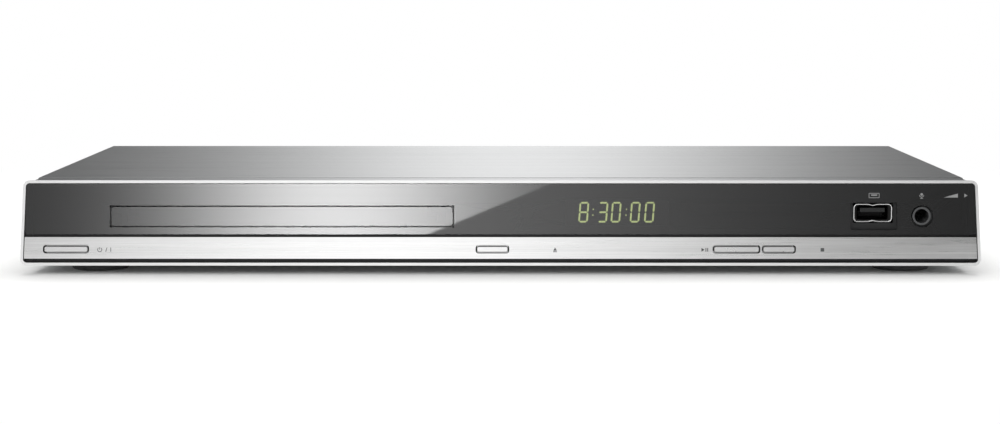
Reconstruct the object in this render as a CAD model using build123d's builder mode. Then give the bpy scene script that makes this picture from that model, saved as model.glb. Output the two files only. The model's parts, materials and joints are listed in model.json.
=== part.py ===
"""Disc player with a motor-driven tray: casing, front panel, loader, boards and sockets.

Millimetres.  The origin is on the table under the middle of the player: +X is to the right,
-Y is the front, +Z is up.  The front panel leans back, so its pieces are drawn on planes that
lie a named depth behind the rim.  The disc unit is drawn on its own plane, tipped down about
its rear pivot as it is while the tray moves.
"""
import os
from math import atan2, cos, degrees, hypot, pi, radians, sin, tan

from build123d import *

# ---- whole player ------------------------------------------------------------------------
overall_height = 42.5
overall_width = 435.5  # across the foot of the front panel
front_taper = 1.75  # by which each side of the front leans in at its top
cover_inset = 2.5  # of the cover from the top of the front, on each side
lip_height = 5.0  # of the cover's edge behind the rear panel
front_y = -108.0  # lowest, foremost edge of the front panel
rear_y = 100.0  # outer face of the rear panel
panel_bottom = 4.0
face_lean = 5.0  # degrees that the front leans back
sheet = 0.8  # steel sheet of chassis, rear panel and cover
seam = 0.1  # gap between casing pieces that meet
floor_z = 4.5  # underside of the chassis floor
foot_radius = 13.0
foot_inset = (28.0, 24.0)  # from the side wall and from the front or rear edge

# ---- front panel -------------------------------------------------------------------------
rim_width = 1.3
rim_depth = 3.6
rim_corner = 3.0
bezel_wall = 1.2
bezel_reach = 22.5  # how far the silver skirt runs back over the cover's front edge
window_recess = 0.4
window_thickness = 2.0
trim_recess = 0.6
carrier_thickness = 2.2
edge_gap = 0.25  # dark line between the rim and the pieces inside it
trim_bottom = 3.1
trim_top = 12.9
window_bottom = 14.2
window_corner = 1.2

# ---- tray door and its opening -----------------------------------------------------------
loader_inset = 114.6  # middle of the tray, turntable and loader, from the cover's left side
door_width = 154.6
door_height = 8.6
door_thickness = 2.4
door_gap = 0.7
door_z = 26.2
door_corner = 1.2

# ---- buttons: middle, width of the opening -----------------------------------------------
standby_inset = 16.6  # of the standby button from the cover's left side
standby_opening = 20.9
open_close_place = (-3.6, 15.2)
play_pause_place = (107.0, 21.6)
stop_place = (126.2, 15.4)
button_height = 2.6
button_opening = 3.8
button_v = 7.4  # middle of the buttons above the panel's lower edge
button_travel = 0.7
button_proud = 0.3
board_depth = 12.0  # front face of the upright boards, behind the rim
board_thickness = 1.6

# ---- display and receiver ----------------------------------------------------------------
display_x = 52.8
display_width = 50.0
display_height = 15.0
display_v = 24.1
receiver_x = 12.0
receiver_radius = 2.6

# ---- sockets on the right ----------------------------------------------------------------
port_inset = 44.45  # of the data port from the cover's right side
port_z = 27.55
port_pocket = (21.2, 12.5)
port_flange = (17.9, 8.7)
port_shell = (13.6, 6.1)
port_wall = 0.4
port_length = 14.0
port_tongue = (11.2, 1.8)
jack_inset = 22.6  # of the microphone jack from the cover's right side
jack_z = 26.3
jack_hole_radius = 5.0
jack_collar_radius = 4.15
jack_bore_radius = 3.25
jack_body = (12.0, 28.0, 11.6)
dial_radius = 7.5
dial_proud = 2.0  # beyond the side of the skirt
dial_height = 5.5
dial_y = -93.0
dial_z = 23.4
dial_gap = 0.4
socket_board_top = 20.3
socket_board_width = 55.5
socket_board_inset = 3.0  # from the cover's right side
socket_board_y = (-100.0, -62.0)

# ---- loader ------------------------------------------------------------------------------
loader_width = 148.0
loader_front = -98.0
loader_rear = 80.0
loader_wall = 2.5
loader_base = 1.5
loader_height = 28.6  # from the chassis floor to the bridge
tray_width = 140.0
tray_front = -102.4
tray_rear = 64.0
tray_bottom = 23.0
tray_top = 29.5
tray_skin_bottom = 26.4
tray_pan_bottom = 25.4  # the skin dips here to hold the disc recesses
tray_rail = 12.0
tray_flange = 4.6
tray_travel = 136.0
slide_gap = 0.3
disc_y = -33.0
disc_recess_radius = 60.6
disc_recess_floor = 26.8
small_recess_radius = 40.8
small_recess_floor = 26.2
slot_width = 44.0
slot_rear = 34.0

# ---- gear train between loading motor and tray -------------------------------------------
tooth_addendum = 0.8  # in modules
tooth_dedendum = 1.15
tooth_share = 0.44  # of the pitch, which leaves the backlash
pressure_angle = 20.0
pinion_teeth = 14
pinion_module = 1.0
wheel_teeth = 40
wheel_module = 0.7
input_teeth = 12
drive_gear_u = 47.0
drive_gear_y = -78.0
input_direction = 190.0  # degrees, from the drive gear towards the pulley gear
wheel_bottom = 14.0
wheel_thickness = 3.0
pinion_bottom = 21.4
pinion_thickness = 3.4
gear_pin_radius = 1.5
running_gap = 0.08
pulley_radius = 9.6
pulley_bottom = 18.8
pulley_thickness = 3.1
pulley_flange = 0.8
belt_size = 1.1
belt_gap = 0.15
motor_pulley_radius = 3.2
motor_offset = 34.0  # from the pulley gear to the loading motor, to the left
motor_radius = 12.0
motor_height = 11.4
motor_shaft_radius = 0.75
rack_bottom = 21.6
rack_height = 3.2

# ---- disc unit, in its own raised pose ---------------------------------------------------
pivot_y = 66.0
pivot_z = 18.0
lift_angle = 4.2
pivot_radius = 2.0
unit_width = 104.0
unit_front = -58.0
unit_rear = 71.0
unit_top = 22.4
unit_height = 6.5
unit_plate = 1.6
unit_wall = 2.0
disc_plane = 29.8
turntable_radius = 15.0
ring_width = 3.6
ring_thickness = 0.5
hub_radius = 7.4
hub_height = 3.0
spindle_radius = 1.0
spindle_motor_radius = 13.0
spindle_motor_height = 9.4
spindle_motor_top = 26.4
rod_u = 22.0
rod_radius = 1.5
rod_height = 18.5
pickup_travel = 34.0
pickup_front = -18.5
pickup_rear = 11.0
lens_y = -11.0
lens_radius = 4.2
lens_top = 28.3
sled_module = 0.5
sled_small_teeth = 16
sled_large_teeth = 30
sled_pinion_teeth = 10
sled_gear_u = 35.0
sled_gear_y = 7.0
sled_motor_direction = 50.0
sled_motor_radius = 8.0
sled_motor_height = 6.0
sled_motor_top = 16.0
sled_pin_radius = 1.0
rack_front = -31.0

# ---- cam slider that lifts the disc unit -------------------------------------------------
cam_y = -61.2  # its front face
cam_thickness = 2.0
cam_travel = 22.0
cam_pin_radius = 1.5
cam_pin_gap = 0.35
cam_height = 20.2

# ---- clamp over the disc -----------------------------------------------------------------
bridge_thickness = 1.0
bridge_depth = 46.0
bridge_lip = 3.0
clamp_radius = 12.6
clamp_flange_radius = 16.5
clamp_bottom = 31.3
clamp_gap = 0.3

# ---- boards and what they carry ----------------------------------------------------------
board_z = 9.0
power_board_width = 88.0
power_board_inset = 5.5  # from the cover's right side
power_board_y = (0.0, 97.0)
main_board_y = (-20.0, 97.0)
board_spacing = 8.0  # between the main board and the power board
loader_spacing = 9.9  # between the loader and the main board
board_inset = 6.0
boss_radius = 3.6
screw_radius = 1.4
screw_head_radius = 2.9
screw_head_height = 1.8
av_jack_x = 58.0
av_jack_pitch = 14.0
av_jack_rows = (17.0, 29.8)
av_jack_radius = 4.15
av_jack_wall = 1.1
av_jack_reach = 8.0
av_jack_neck = 0.6  # by which the sleeves are thinner inside the block and the rings
av_jack_seat = 0.5  # free gap between the rings and the full width of the sleeves
av_ring_thickness = 1.2
av_block_depth = 13.0
inlet_inset = 35.5  # of the mains inlet from the cover's right side
inlet_z = 21.0
inlet_lobe_radius = 4.1
inlet_pin_pitch = 8.6
inlet_pin_radius = 1.2
inlet_depth = 11.5

# ---- worked out from the sizes above -----------------------------------------------------
lean = radians(face_lean)
face_height = (overall_height - panel_bottom) / cos(lean)
front_width_top = overall_width - 2 * front_taper
cover_width = front_width_top - 2 * cover_inset
cover_side = cover_width / 2
cover_top = overall_height - 0.5
cover_underside = cover_top - sheet
floor_top = floor_z + sheet
wall_side = cover_side - sheet - seam  # outer face of the chassis walls
skirt_back = front_y + bezel_reach
cover_front = skirt_back + seam
chassis_front = front_y + 10.0
trim_depth = window_recess + window_thickness  # where the carrier's front face lies
carrier_back = trim_depth + carrier_thickness
loader_x = loader_inset - cover_side
port_x = cover_side - port_inset
jack_x = cover_side - jack_inset
inlet_x = cover_side - inlet_inset
standby_place = (standby_inset - cover_side, standby_opening)
socket_board_right = cover_side - socket_board_inset
socket_board = (socket_board_right - socket_board_width, socket_board_right, *socket_board_y)
power_board_right = cover_side - power_board_inset
power_board_left = power_board_right - power_board_width
power_board = (power_board_left, power_board_right, *power_board_y)
main_board_left = loader_x + loader_width / 2 + loader_spacing
main_board = (main_board_left, power_board_left - board_spacing, *main_board_y)


def face_plane(depth):
    """Plane parallel to the leaning front, `depth` behind the rim; X to the right, Y up it."""
    return Plane(
        origin=(0, front_y + depth * cos(lean), panel_bottom - depth * sin(lean)),
        x_dir=(1, 0, 0),
        z_dir=(0, -cos(lean), sin(lean)),
    )


def upright_plane(y):
    """Plane facing the front at `y`; X to the right, Y up."""
    return Plane.XZ.offset(-y)


def side_plane(x):
    """Plane facing right at `x`; its X runs to the back and its Y runs up."""
    return Plane.YZ.offset(x)


def block(x_span, y_span, z_span, mode=Mode.ADD):
    """Straight-sided block between the given ends."""
    size = [span[1] - span[0] for span in (x_span, y_span, z_span)]
    with Locations((x_span[0], y_span[0], z_span[0])):
        Box(*size, align=(Align.MIN, Align.MIN, Align.MIN), mode=mode)


def post(places, radius, z_span, mode=Mode.ADD):
    """Round upright posts, or round holes, at the given places."""
    with Locations(*[(x, y, z_span[0]) for x, y in places]):
        Cylinder(
            radius,
            z_span[1] - z_span[0],
            align=(Align.CENTER, Align.CENTER, Align.MIN),
            mode=mode,
        )


def band(bottom, top, inset):
    """Corners of a level band of the front, which is a little wider at its foot."""
    widening = front_taper / face_height
    low = overall_width / 2 - widening * bottom - inset
    high = overall_width / 2 - widening * top - inset
    return [(-low, bottom), (low, bottom), (high, top), (-high, top)]


def save(part, name):
    """Label a finished piece and write its file."""
    part.label = name
    export_step(part, f"parts/{name}.step")


def board_corners(board):
    """Screw places of a board given as (left, right, front, rear)."""
    left, right, front, rear = board
    return [
        (left + board_inset, front + board_inset),
        (right - board_inset, front + board_inset),
        (left + board_inset, rear - board_inset),
        (right - board_inset, rear - board_inset),
    ]


os.makedirs("parts", exist_ok=True)
board_posts = board_corners(main_board) + board_corners(power_board)
socket_posts = [
    (socket_board[0] + board_inset / 2 + 1.0, socket_board[2] + 14.0),
    (socket_board[0] + board_inset / 2 + 1.0, socket_board[3] - board_inset),
    (socket_board[1] - board_inset, socket_board[3] - board_inset),
]
foot_places = [
    (side * (cover_side - foot_inset[0]), y)
    for side in (-1, 1)
    for y in (front_y + foot_inset[1], rear_y - foot_inset[1])
]
door_v = (door_z - panel_bottom) / cos(lean)
opening_width = door_width + 2 * door_gap
opening_span = (door_z - door_height / 2 - door_gap, door_z + door_height / 2 + door_gap)
loader_screw_places = [
    (loader_x + side * 63.0, y) for side in (-1, 1) for y in (loader_front + 8.0, loader_rear - 6.0)
]
av_jack_columns = [av_jack_x + k * av_jack_pitch for k in (-1, 0, 1)]
av_jack_places = [(x, z) for x in av_jack_columns for z in av_jack_rows]
buttons = {
    "standby": standby_place,
    "open_close": open_close_place,
    "play_pause": play_pause_place,
    "stop": stop_place,
}

# ---- casing ------------------------------------------------------------------------------
with BuildPart() as bottom_chassis:
    block((-wall_side, wall_side), (chassis_front, rear_y - sheet - seam), (floor_z, floor_top))
    for side in (-1, 1):
        inner, outer = sorted((side * (wall_side - sheet), side * wall_side))
        block((inner, outer), (cover_front + 1.0, rear_y - sheet - seam), (floor_z, floor_top + 16.0))
    for x in (loader_x - loader_width / 2 + 12.9, main_board[1] - 2.0):
        block((x - 18.0, x + 18.0), (rear_y - 2 * sheet - seam, rear_y - sheet - seam), (floor_z, floor_top + 10.0))
    post(board_posts, boss_radius, (floor_top, board_z))
    post(board_posts, screw_radius, (floor_z, board_z), Mode.SUBTRACT)
    post(socket_posts, boss_radius, (floor_top, socket_board_top - board_thickness))
    post(loader_screw_places, screw_radius + 0.1, (floor_z, floor_top), Mode.SUBTRACT)
    for rib_y in (-40.0, 20.0):
        block((main_board[0], main_board[1]), (rib_y, rib_y + 3.0), (floor_top, floor_top + 1.2))
save(bottom_chassis.part, "bottom_chassis")

with BuildPart() as rear_panel:
    with BuildSketch(upright_plane(rear_y)):
        with Locations((0, (floor_z + cover_underside - seam) / 2)):
            Rectangle(2 * wall_side, cover_underside - seam - floor_z)
        with Locations(*av_jack_places):
            Circle(av_jack_radius + 0.6, mode=Mode.SUBTRACT)
        with Locations((inlet_x, inlet_z)):
            SlotCenterToCenter(inlet_pin_pitch + 4.0, 2 * inlet_lobe_radius + 4.4, mode=Mode.SUBTRACT)
        with Locations((-110.0, 24.0)):
            with GridLocations(9.0, 0, 9, 1):
                SlotOverall(16.0, 3.0, rotation=90, mode=Mode.SUBTRACT)
    extrude(amount=sheet)
save(rear_panel.part, "rear_panel")

with BuildPart() as top_cover:
    with BuildSketch(upright_plane(cover_front)):
        with BuildLine():
            Polyline(
                (-cover_side, floor_z + 1.0),
                (-cover_side, cover_top),
                (cover_side, cover_top),
                (cover_side, floor_z + 1.0),
                (cover_side - sheet, floor_z + 1.0),
                (cover_side - sheet, cover_underside),
                (-cover_side + sheet, cover_underside),
                (-cover_side + sheet, floor_z + 1.0),
                close=True,
            )
        make_face()
    extrude(amount=-(rear_y + seam + sheet - cover_front))
    lip_y = (rear_y + seam, rear_y + seam + sheet)
    block((-cover_side + sheet, cover_side - sheet), lip_y, (cover_underside - lip_height, cover_underside))
    long_edges = top_cover.edges().filter_by(Axis.Y).filter_by(lambda e: e.center().Z > cover_top - 0.01)
    fillet(long_edges, sheet * 0.9)
    for side in (-1, 1):
        for vent in range(9):
            y = -30.0 + 9.0 * vent
            inner, outer = sorted((side * (cover_side - sheet - 0.5), side * (cover_side + 0.5)))
            block((inner, outer), (y, y + 2.4), (floor_top + 19.0, floor_top + 31.0), Mode.SUBTRACT)
save(top_cover.part, "top_cover")

side_screw_places = [(y, floor_top + 8.0) for y in (-60.0, 70.0)]
rear_screw_x = cover_side - 17.5
rear_screw_places = [(x, cover_underside - lip_height / 2 + 0.2) for x in (-rear_screw_x, 0.0, rear_screw_x)]
with BuildPart() as case_screws:
    for side in (-1, 1):
        for y, z in side_screw_places:
            with BuildSketch(Plane(origin=(side * cover_side, y, z), z_dir=(side, 0, 0))):
                Circle(3.2)
            extrude(amount=1.2)
    with BuildSketch(upright_plane(rear_y + seam + sheet)):
        with Locations(*rear_screw_places):
            Circle(2.3)
    extrude(amount=-1.5)
save(case_screws.part, "case_screws")

with BuildPart() as feet:
    with BuildSketch():
        with Locations(*foot_places):
            Circle(foot_radius)
    extrude(amount=floor_z - 1.6)
    fillet(feet.edges().group_by(Axis.Z)[0], 0.8)
    with BuildSketch(Plane.XY.offset(floor_z - 1.6)):
        with Locations(*foot_places):
            Circle(foot_radius - 2.0)
    extrude(amount=1.6)
save(feet.part, "feet")

# ---- front panel -------------------------------------------------------------------------
flange_depth = trim_depth + 0.05  # the rim's inner flange, behind the window and the trim
skirt_top = overall_height - 0.3
opening_x = (loader_x - opening_width / 2, loader_x + opening_width / 2)
through_front = (front_y - 5.0, front_y + 15.0)

with BuildPart() as front_bezel:
    with BuildSketch(face_plane(0)) as rim_outside:
        with BuildLine():
            Polyline(*band(0, face_height, 0), close=True)
        make_face()
        fillet(rim_outside.vertices(), rim_corner)
    extrude(amount=-rim_depth)
    with BuildSketch(face_plane(0)) as rim_inside:
        with BuildLine():
            Polyline(*band(rim_width, face_height - rim_width, rim_width), close=True)
        make_face()
        fillet(rim_inside.vertices(), rim_corner - rim_width)
    extrude(amount=-flange_depth, mode=Mode.SUBTRACT)
    with BuildSketch(face_plane(flange_depth)) as skirt:
        with Locations((0, (skirt_top - panel_bottom + 0.4) / 2)):
            RectangleRounded(cover_width, skirt_top - panel_bottom - 0.4, 1.5)
    extrude(amount=bezel_reach + 3.0, dir=(0, 1, 0))
    with BuildSketch(face_plane(0)) as skirt_inside:
        with Locations((0, (skirt_top - panel_bottom + 0.4) / 2)):
            Rectangle(cover_width - 2 * bezel_wall, skirt_top - panel_bottom - 0.4 - 2 * bezel_wall)
    extrude(amount=bezel_reach + 8.0, dir=(0, 1, 0), mode=Mode.SUBTRACT)
    block((-cover_width, cover_width), (skirt_back, rear_y), (0, overall_height), Mode.SUBTRACT)
    under = (0, floor_top + seam)
    block((-cover_width, cover_width), (chassis_front - seam, rear_y), under, Mode.SUBTRACT)
    inside_skirt = (bezel_wall - cover_side, cover_side - bezel_wall)
    block(inside_skirt, (chassis_front - seam, rear_y), (0, floor_top + 2.0), Mode.SUBTRACT)
    dial_x = cover_side + dial_proud - dial_radius
    dial_slot = (dial_radius**2 - (cover_side - bezel_wall - dial_x) ** 2) ** 0.5 + dial_gap
    dial_slot_z = (dial_z - dial_gap, dial_z + dial_height + dial_gap)
    block((dial_x, cover_width), (dial_y - dial_slot, dial_y + dial_slot), dial_slot_z, Mode.SUBTRACT)
save(front_bezel.part, "front_bezel")

pocket_width, pocket_height = port_pocket
flange_width, flange_height = port_flange
pocket_z = port_z - 1.2  # the pocket reaches further down than the socket
with BuildPart() as display_window:
    with BuildSketch(face_plane(window_recess)) as pane:
        with BuildLine():
            Polyline(*band(window_bottom, face_height - rim_width - edge_gap, rim_width + edge_gap), close=True)
        make_face()
        fillet(pane.vertices().group_by(Axis.Z)[-1], window_corner)
    extrude(amount=-window_thickness)
    block(opening_x, through_front, opening_span, Mode.SUBTRACT)
    with BuildSketch(upright_plane(front_y - 5.0)):
        with Locations((port_x, pocket_z)):
            RectangleRounded(pocket_width, pocket_height, 1.0)
        with Locations((jack_x, jack_z)):
            Circle(jack_hole_radius)
    extrude(amount=-20.0, mode=Mode.SUBTRACT)
save(display_window.part, "display_window")

with BuildPart() as trim_strip:
    with BuildSketch(face_plane(trim_recess)):
        with BuildLine():
            Polyline(*band(trim_bottom, trim_top, rim_width + edge_gap), close=True)
        make_face()
        for middle, width in buttons.values():
            with Locations((middle, button_v)):
                RectangleRounded(width, button_opening, button_opening * 0.35, mode=Mode.SUBTRACT)
    extrude(amount=-(trim_depth - trim_recess))
save(trim_strip.part, "trim_strip")

front_board = (-20.0, port_x - pocket_width / 2 - 8.45, 3.5, 34.5)
standby_board = (standby_place[0] - 14.1, standby_place[0] + 13.9, 3.5, 20.5)
board_pillars = [(x, v) for x in (front_board[0] + 6.0, front_board[1] - 6.0) for v in (16.0, 30.5)]
board_pillars += [(standby_board[0] + 4.0, 16.5), (standby_board[1] - 4.0, 16.5)]
carrier_side = cover_side - bezel_wall - seam
carrier_bottom = floor_top + seam - panel_bottom + 0.6
carrier_top = skirt_top - bezel_wall - panel_bottom - seam - 0.3
with BuildPart() as front_carrier:
    with BuildSketch(face_plane(trim_depth)):
        with Locations((0, (carrier_bottom + carrier_top) / 2)):
            RectangleRounded(2 * carrier_side, carrier_top - carrier_bottom, 1.0)
        for middle, width in buttons.values():
            with Locations((middle, button_v)):
                RectangleRounded(width, button_opening, button_opening * 0.35, mode=Mode.SUBTRACT)
        with Locations((display_x, display_v)):
            RectangleRounded(display_width - 3.0, display_height - 3.0, 1.0, mode=Mode.SUBTRACT)
        with Locations((receiver_x, display_v)):
            Circle(receiver_radius + 0.4, mode=Mode.SUBTRACT)
    extrude(amount=-carrier_thickness)
    block(opening_x, through_front, opening_span, Mode.SUBTRACT)
    with BuildSketch(upright_plane(front_y - 5.0)):
        with Locations((port_x, port_z)):
            RectangleRounded(flange_width + 0.4, flange_height + 0.4, 0.6)
        with Locations((jack_x, jack_z)):
            Circle(jack_collar_radius + 0.25)
    extrude(amount=-20.0, mode=Mode.SUBTRACT)
    with BuildSketch(face_plane(carrier_back)):
        with Locations(*board_pillars):
            Circle(3.0)
    extrude(amount=-(board_depth - carrier_back))
save(front_carrier.part, "front_carrier")

switch_front = carrier_back + 3.6
for name, (middle, width) in buttons.items():
    with BuildPart() as button:
        gap = (button_opening - button_height) / 2
        with BuildSketch(face_plane(trim_recess - button_proud)):
            with Locations((middle, button_v)):
                RectangleRounded(width - 2 * gap, button_height, button_height * 0.35)
        extrude(amount=-(carrier_back + 1.5 - trim_recess + button_proud))
        chamfer(button.faces().sort_by(Axis.Y)[0].edges(), 0.25)
        with BuildSketch(face_plane(carrier_back + 0.4)):
            with Locations((middle, button_v)):
                RectangleRounded(width - 2 * gap, button_opening + 2.0, 1.4)
        extrude(amount=-1.1)
        with BuildSketch(face_plane(carrier_back + 1.5)):
            with Locations((middle, button_v)):
                Circle(1.5)
        extrude(amount=-(switch_front - button_travel - 0.1 - carrier_back - 1.5))
    save(button.part, f"{name}_button")

with BuildPart() as tact_switches:
    for middle, width in buttons.values():
        with BuildSketch(face_plane(switch_front)):
            with Locations((middle, button_v)):
                Circle(1.7)
        extrude(amount=-1.2)
        with BuildSketch(face_plane(switch_front + 1.2)):
            with Locations((middle, button_v)):
                Rectangle(6.0, 6.0)
        extrude(amount=-(board_depth - switch_front - 1.2))
save(tact_switches.part, "tact_switches")

for name, board in (("front_pcb", front_board), ("standby_pcb", standby_board)):
    left, right, low, high = board
    with BuildPart() as upright_board:
        with BuildSketch(face_plane(board_depth)):
            with Locations(((left + right) / 2, (low + high) / 2)):
                RectangleRounded(right - left, high - low, 1.0)
        extrude(amount=-board_thickness)
    save(upright_board.part, name)

display_front = carrier_back + 1.0
with BuildPart() as display_tube:
    with BuildSketch(face_plane(display_front + 1.4)):
        with Locations((display_x, display_v)):
            Rectangle(display_width + 6.0, display_height + 4.0)
    extrude(amount=-(board_depth - display_front - 1.4))
    with BuildSketch(face_plane(display_front)):
        with Locations((display_x, display_v)):
            Rectangle(display_width, display_height)
    extrude(amount=-1.4)
save(display_tube.part, "display_tube")

with BuildPart() as ir_receiver:
    with BuildSketch(face_plane(display_front + 2.0)):
        with Locations((receiver_x, display_v)):
            Rectangle(6.4, 7.4)
    extrude(amount=-(board_depth - display_front - 2.0))
    with BuildSketch(face_plane(display_front)):
        with Locations((receiver_x, display_v)):
            Circle(receiver_radius)
    extrude(amount=-2.0)
    fillet(ir_receiver.faces().sort_by(Axis.Y)[0].edges(), 1.4)
save(ir_receiver.part, "ir_receiver")

# ---- sockets, level dial and their board -------------------------------------------------
left, right, front, rear = socket_board
socket_front = front_y + trim_depth + tan(lean) * (port_z - panel_bottom) + 0.3
with BuildPart() as io_pcb:
    block((left, right), (front, rear), (socket_board_top - board_thickness, socket_board_top))
save(io_pcb.part, "io_pcb")

shell_width, shell_height = port_shell
with BuildPart() as port_shell_part:
    with BuildSketch(upright_plane(socket_front)):
        with Locations((port_x, port_z)):
            RectangleRounded(flange_width, flange_height, 0.6)
            Rectangle(shell_width - 2 * port_wall, shell_height - 2 * port_wall, mode=Mode.SUBTRACT)
    extrude(amount=-port_wall)
    with BuildSketch(upright_plane(socket_front + port_wall)):
        with Locations((port_x, port_z)):
            Rectangle(shell_width, shell_height)
            Rectangle(shell_width - 2 * port_wall, shell_height - 2 * port_wall, mode=Mode.SUBTRACT)
    extrude(amount=-port_length)
    leg_z = (socket_board_top, port_z - shell_height / 2)
    for side in (-1, 1):
        edge = port_x + side * (shell_width / 2 - 1.0)
        block((edge - 1.0, edge + 1.0), (socket_front + 5.0, socket_front + 11.0), leg_z)
save(port_shell_part.part, "port_shell")

tongue_width, tongue_height = port_tongue
shell_end = socket_front + port_wall + port_length
with BuildPart() as port_tongue_part:
    inside = (shell_width / 2 - port_wall - 0.05, shell_height / 2 - port_wall - 0.05)
    block((port_x - inside[0], port_x + inside[0]), (shell_end - 3.0, shell_end), (port_z - inside[1], port_z + inside[1]))
    tongue_z = (port_z + 0.3, port_z + 0.3 + tongue_height)
    tongue_x = (port_x - tongue_width / 2, port_x + tongue_width / 2)
    block(tongue_x, (socket_front + 1.6, shell_end - 3.0), tongue_z)
    block((port_x - 5.0, port_x + 5.0), (shell_end, shell_end + 2.0), (socket_board_top, port_z))
save(port_tongue_part.part, "port_tongue")

jack_width, jack_length, jack_height = jack_body
jack_front = socket_front + carrier_thickness + 0.4
with BuildPart() as mic_jack:
    jack_sides = (jack_x - jack_width / 2, jack_x + jack_width / 2)
    block(jack_sides, (jack_front, jack_front + jack_length), (socket_board_top, socket_board_top + jack_height))
    with BuildSketch(upright_plane(jack_front)):
        with Locations((jack_x, jack_z)):
            Circle(jack_collar_radius)
    extrude(amount=jack_front - socket_front + 1.6)
    with BuildSketch(upright_plane(jack_front - 6.0)):
        with Locations((jack_x, jack_z)):
            Circle(jack_bore_radius)
    extrude(amount=-(jack_length + 3.0), mode=Mode.SUBTRACT)
save(mic_jack.part, "mic_jack")

with BuildPart() as level_dial:
    post([(dial_x, dial_y)], dial_radius, (dial_z, dial_z + dial_height))
    with BuildSketch(Plane.XY.offset(dial_z)):
        with Locations((dial_x, dial_y)):
            with PolarLocations(dial_radius, 36):
                Circle(0.28)
    extrude(amount=dial_height, mode=Mode.SUBTRACT)
    post([(dial_x, dial_y)], 1.5, (socket_board_top + 0.5, dial_z))
save(level_dial.part, "level_dial")

with BuildPart() as level_pot:
    block((dial_x - 5.0, right), (dial_y - 5.0, dial_y + 5.0), (socket_board_top, dial_z - dial_gap))
    post([(dial_x, dial_y)], 1.5 + running_gap, (socket_board_top + 0.3, dial_z), Mode.SUBTRACT)
save(level_pot.part, "level_pot")
# ---- loader ------------------------------------------------------------------------------
def across(u_from, u_to):
    """X span of a stretch measured from the loader's middle."""
    return (loader_x + u_from, loader_x + u_to)


def mirrored(u_from, u_to):
    """The same stretch on both sides of the loader's middle."""
    return [across(u_from, u_to), across(-u_to, -u_from)]


def gear_points(teeth, module, centre, first_tooth):
    """Outline of a spur gear with straight-sided teeth; one tooth points along `first_tooth`."""
    radius = teeth * module / 2
    slope = tan(radians(pressure_angle))
    half = tooth_share * pi * module / 2
    tip = radius + tooth_addendum * module
    root = radius - tooth_dedendum * module
    tip_angle = (half - tooth_addendum * module * slope) / tip
    root_angle = (half + tooth_dedendum * module * slope) / root
    points = []
    for tooth in range(teeth):
        middle = radians(first_tooth) + 2 * pi * tooth / teeth
        for reach, angle in ((root, -root_angle), (tip, -tip_angle), (tip, tip_angle), (root, root_angle)):
            points.append((centre[0] + reach * cos(middle + angle), centre[1] + reach * sin(middle + angle)))
    return points


def rack_points(module, gap_y, ends, pitch_x, back_x):
    """Outline of a straight rack along Y whose teeth point away from `back_x`."""
    outward = -1 if back_x > pitch_x else 1
    slope = tan(radians(pressure_angle))
    pitch = pi * module
    half = tooth_share * pitch / 2
    tip_half = half - tooth_addendum * module * slope
    root_half = half + tooth_dedendum * module * slope
    tip_x = pitch_x + outward * tooth_addendum * module
    root_x = pitch_x - outward * tooth_dedendum * module
    first = int((ends[0] - gap_y) / pitch - 0.5) + 1
    last = int((ends[1] - gap_y) / pitch - 0.5) - 1
    points = [(back_x, ends[1]), (back_x, ends[0]), (root_x, ends[0])]
    for tooth in range(first, last + 1):
        middle = gap_y + (tooth + 0.5) * pitch
        points += [(root_x, middle - root_half), (tip_x, middle - tip_half)]
        points += [(tip_x, middle + tip_half), (root_x, middle + root_half)]
    return points + [(root_x, ends[1])]


half_loader = loader_width / 2
rail_inner = tray_width / 2 + slide_gap + 1.2  # inner face of the side walls
base_z = (floor_top + seam, floor_top + seam + loader_base)
loader_top = base_z[0] + loader_height
ledge_top = tray_bottom - slide_gap
flange_top = tray_bottom + 3.0
hook_z = (flange_top + slide_gap, flange_top + slide_gap + 2.0)
drive_place = (loader_x + drive_gear_u, drive_gear_y)
wheel_radius = wheel_teeth * wheel_module / 2
pinion_radius = pinion_teeth * pinion_module / 2
input_radius = input_teeth * wheel_module / 2
mesh_distance = wheel_radius + input_radius
input_angle = radians(input_direction)
input_place = (
    drive_place[0] + mesh_distance * cos(input_angle),
    drive_place[1] + mesh_distance * sin(input_angle),
)
motor_place = (input_place[0] - motor_offset, input_place[1])
unit_half = unit_width / 2
unit_gap = 0.5
motor_z = (base_z[1] + 0.2, base_z[1] + 0.2 + motor_height)
pinion_top = pinion_bottom + pinion_thickness
guide_u = (-46.0, 30.0)
bridge_y = (disc_y - bridge_depth / 2, disc_y + bridge_depth / 2)
bridge_screw_places = [
    (loader_x + side * (half_loader - 3.2), y) for side in (-1, 1) for y in (bridge_y[0] + 6.0, bridge_y[1] - 6.0)
]

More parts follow.
